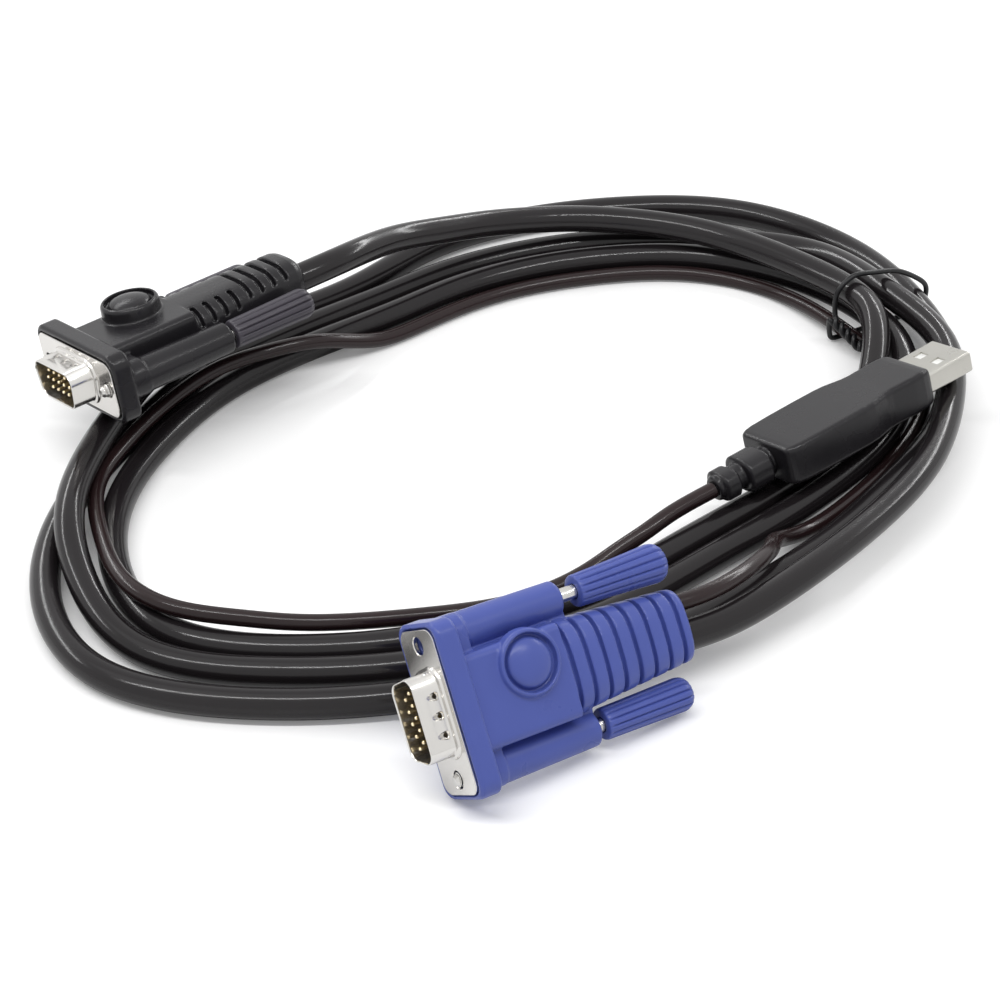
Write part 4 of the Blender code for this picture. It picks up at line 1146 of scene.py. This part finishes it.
class SWITCHCABLE_OT_stage(bpy.types.Operator):
    """Lay the pale floor and set the soft lights and the camera."""

    bl_idname = "switchcable.stage"
    bl_label = "Stage"

    def execute(self, context):
        settings = context.scene.switch_stage
        self.lay_floor(settings)
        self.light(settings)
        self.aim_camera(context)
        context.scene.view_settings.view_transform = "Standard"
        return {"FINISHED"}

    def lay_floor(self, settings):
        builder = bmesh.new()
        bmesh.ops.create_grid(builder, x_segments=1, y_segments=1, size=settings.floor_size / 2)
        floor = mesh_object("floor", builder)
        made, tree, shader = shader_of("pale floor")
        shader.inputs["Base Color"].default_value = (*settings.floor, 1)
        shader.inputs["Roughness"].default_value = 0.9
        shader.inputs["Specular IOR Level"].default_value = 0.1
        seen = add_node(tree, "ShaderNodeLightPath").outputs["Is Camera Ray"]
        level = math_node(tree, "MULTIPLY", seen, FLOOR_GLOW)
        glow = add_node(tree, "ShaderNodeEmission", Strength=level)
        both = add_node(tree, "ShaderNodeAddShader")
        feed(tree, both.inputs[0], shader.outputs[0])
        feed(tree, both.inputs[1], glow.outputs[0])
        feed(tree, tree.nodes["Material Output"].inputs["Surface"], both.outputs[0])
        floor.data.materials.append(made)

    def light(self, settings):
        world = bpy.data.worlds.new("plain surroundings")
        world.use_nodes = True
        bpy.context.scene.world = world
        tree = world.node_tree
        path = add_node(tree, "ShaderNodeLightPath")
        seen = path.outputs["Is Camera Ray"]
        for ray in ("Is Glossy Ray", "Is Transmission Ray"):
            seen = math_node(tree, "MAXIMUM", seen, path.outputs[ray])
        back = tree.nodes["Background"]
        back.inputs["Color"].default_value = (1, 1, 1, 1)
        tree.links.new(ranged(tree, seen, settings.sky, 1.0), back.inputs["Strength"])
        self.area("overhead strip", Vector((0.0, -0.24, 0.80)), 1.30, 0.03, settings.strip_power)
        self.area("left strip", Vector((-0.62, 0.42, 0.52)), 1.00, 0.03, settings.side_power)
        self.area("right strip", Vector((0.55, 0.62, 0.50)), 0.90, 0.03, settings.side_power)
        self.area("soft key", Vector((-0.30, -0.05, 0.90)), 0.70, 0.70, settings.key_power)

    def area(self, name, place, width, height, power):
        lamp = bpy.data.lights.new(name, "AREA")
        lamp.shape = "RECTANGLE"
        lamp.size = width
        lamp.size_y = height
        lamp.energy = power
        made = linked(name, lamp)
        made.location = place
        made.rotation_euler = (-place).to_track_quat("-Z", "Y").to_euler()

    def aim_camera(self, context):
        look = Vector((0, math.cos(CAMERA_ELEVATION), -math.sin(CAMERA_ELEVATION)))
        camera = bpy.data.cameras.new("camera")
        camera.lens = CAMERA_LENS
        camera.sensor_width = SENSOR
        made = linked("camera", camera)
        made.location = CAMERA_TARGET - look * CAMERA_DISTANCE
        made.rotation_euler = look.to_track_quat("-Z", "Y").to_euler()
        context.scene.camera = made


STEPS = (SWITCHCABLE_OT_stage, SWITCHCABLE_OT_cables, SWITCHCABLE_OT_tie, SWITCHCABLE_OT_hoods,
         SWITCHCABLE_OT_front_shells, SWITCHCABLE_OT_insulators, SWITCHCABLE_OT_contacts,
         SWITCHCABLE_OT_thumbscrews, SWITCHCABLE_OT_usb_plug)


class SWITCHCABLE_PT_panel(bpy.types.Panel):
    """Settings and steps of the switch cable."""

    bl_idname = "SWITCHCABLE_PT_panel"
    bl_label = "Switch cable"
    bl_space_type = "VIEW_3D"
    bl_region_type = "UI"
    bl_category = "Switch Cable"

    def draw(self, context):
        for group in (context.scene.switch_cables, context.scene.switch_plugs, context.scene.switch_usb,
                      context.scene.switch_stage):
            box = self.layout.box()
            for name in group.bl_rna.properties.keys():
                if name not in ("rna_type", "name"):
                    box.prop(group, name)
        for step in STEPS:
            self.layout.operator(step.bl_idname)


GROUPS = {"switch_cables": CableSettings, "switch_plugs": PlugSettings, "switch_usb": UsbSettings,
          "switch_stage": StageSettings}


def register():
    for group in GROUPS.values():
        bpy.utils.register_class(group)
    for name, group in GROUPS.items():
        setattr(bpy.types.Scene, name, bpy.props.PointerProperty(type=group))
    for step in STEPS:
        bpy.utils.register_class(step)
    bpy.utils.register_class(SWITCHCABLE_PT_panel)


def unregister():
    bpy.utils.unregister_class(SWITCHCABLE_PT_panel)
    for step in reversed(STEPS):
        bpy.utils.unregister_class(step)
    for name in GROUPS:
        delattr(bpy.types.Scene, name)
    for group in reversed(list(GROUPS.values())):
        bpy.utils.unregister_class(group)


def main():
    register()
    bpy.ops.switchcable.stage()
    bpy.ops.switchcable.cables()
    bpy.ops.switchcable.tie()
    bpy.ops.switchcable.hoods()
    bpy.ops.switchcable.front_shells()
    bpy.ops.switchcable.insulators()
    bpy.ops.switchcable.contacts()
    bpy.ops.switchcable.thumbscrews()
    bpy.ops.switchcable.usb_plug()


if __name__ == "__main__":
    main()
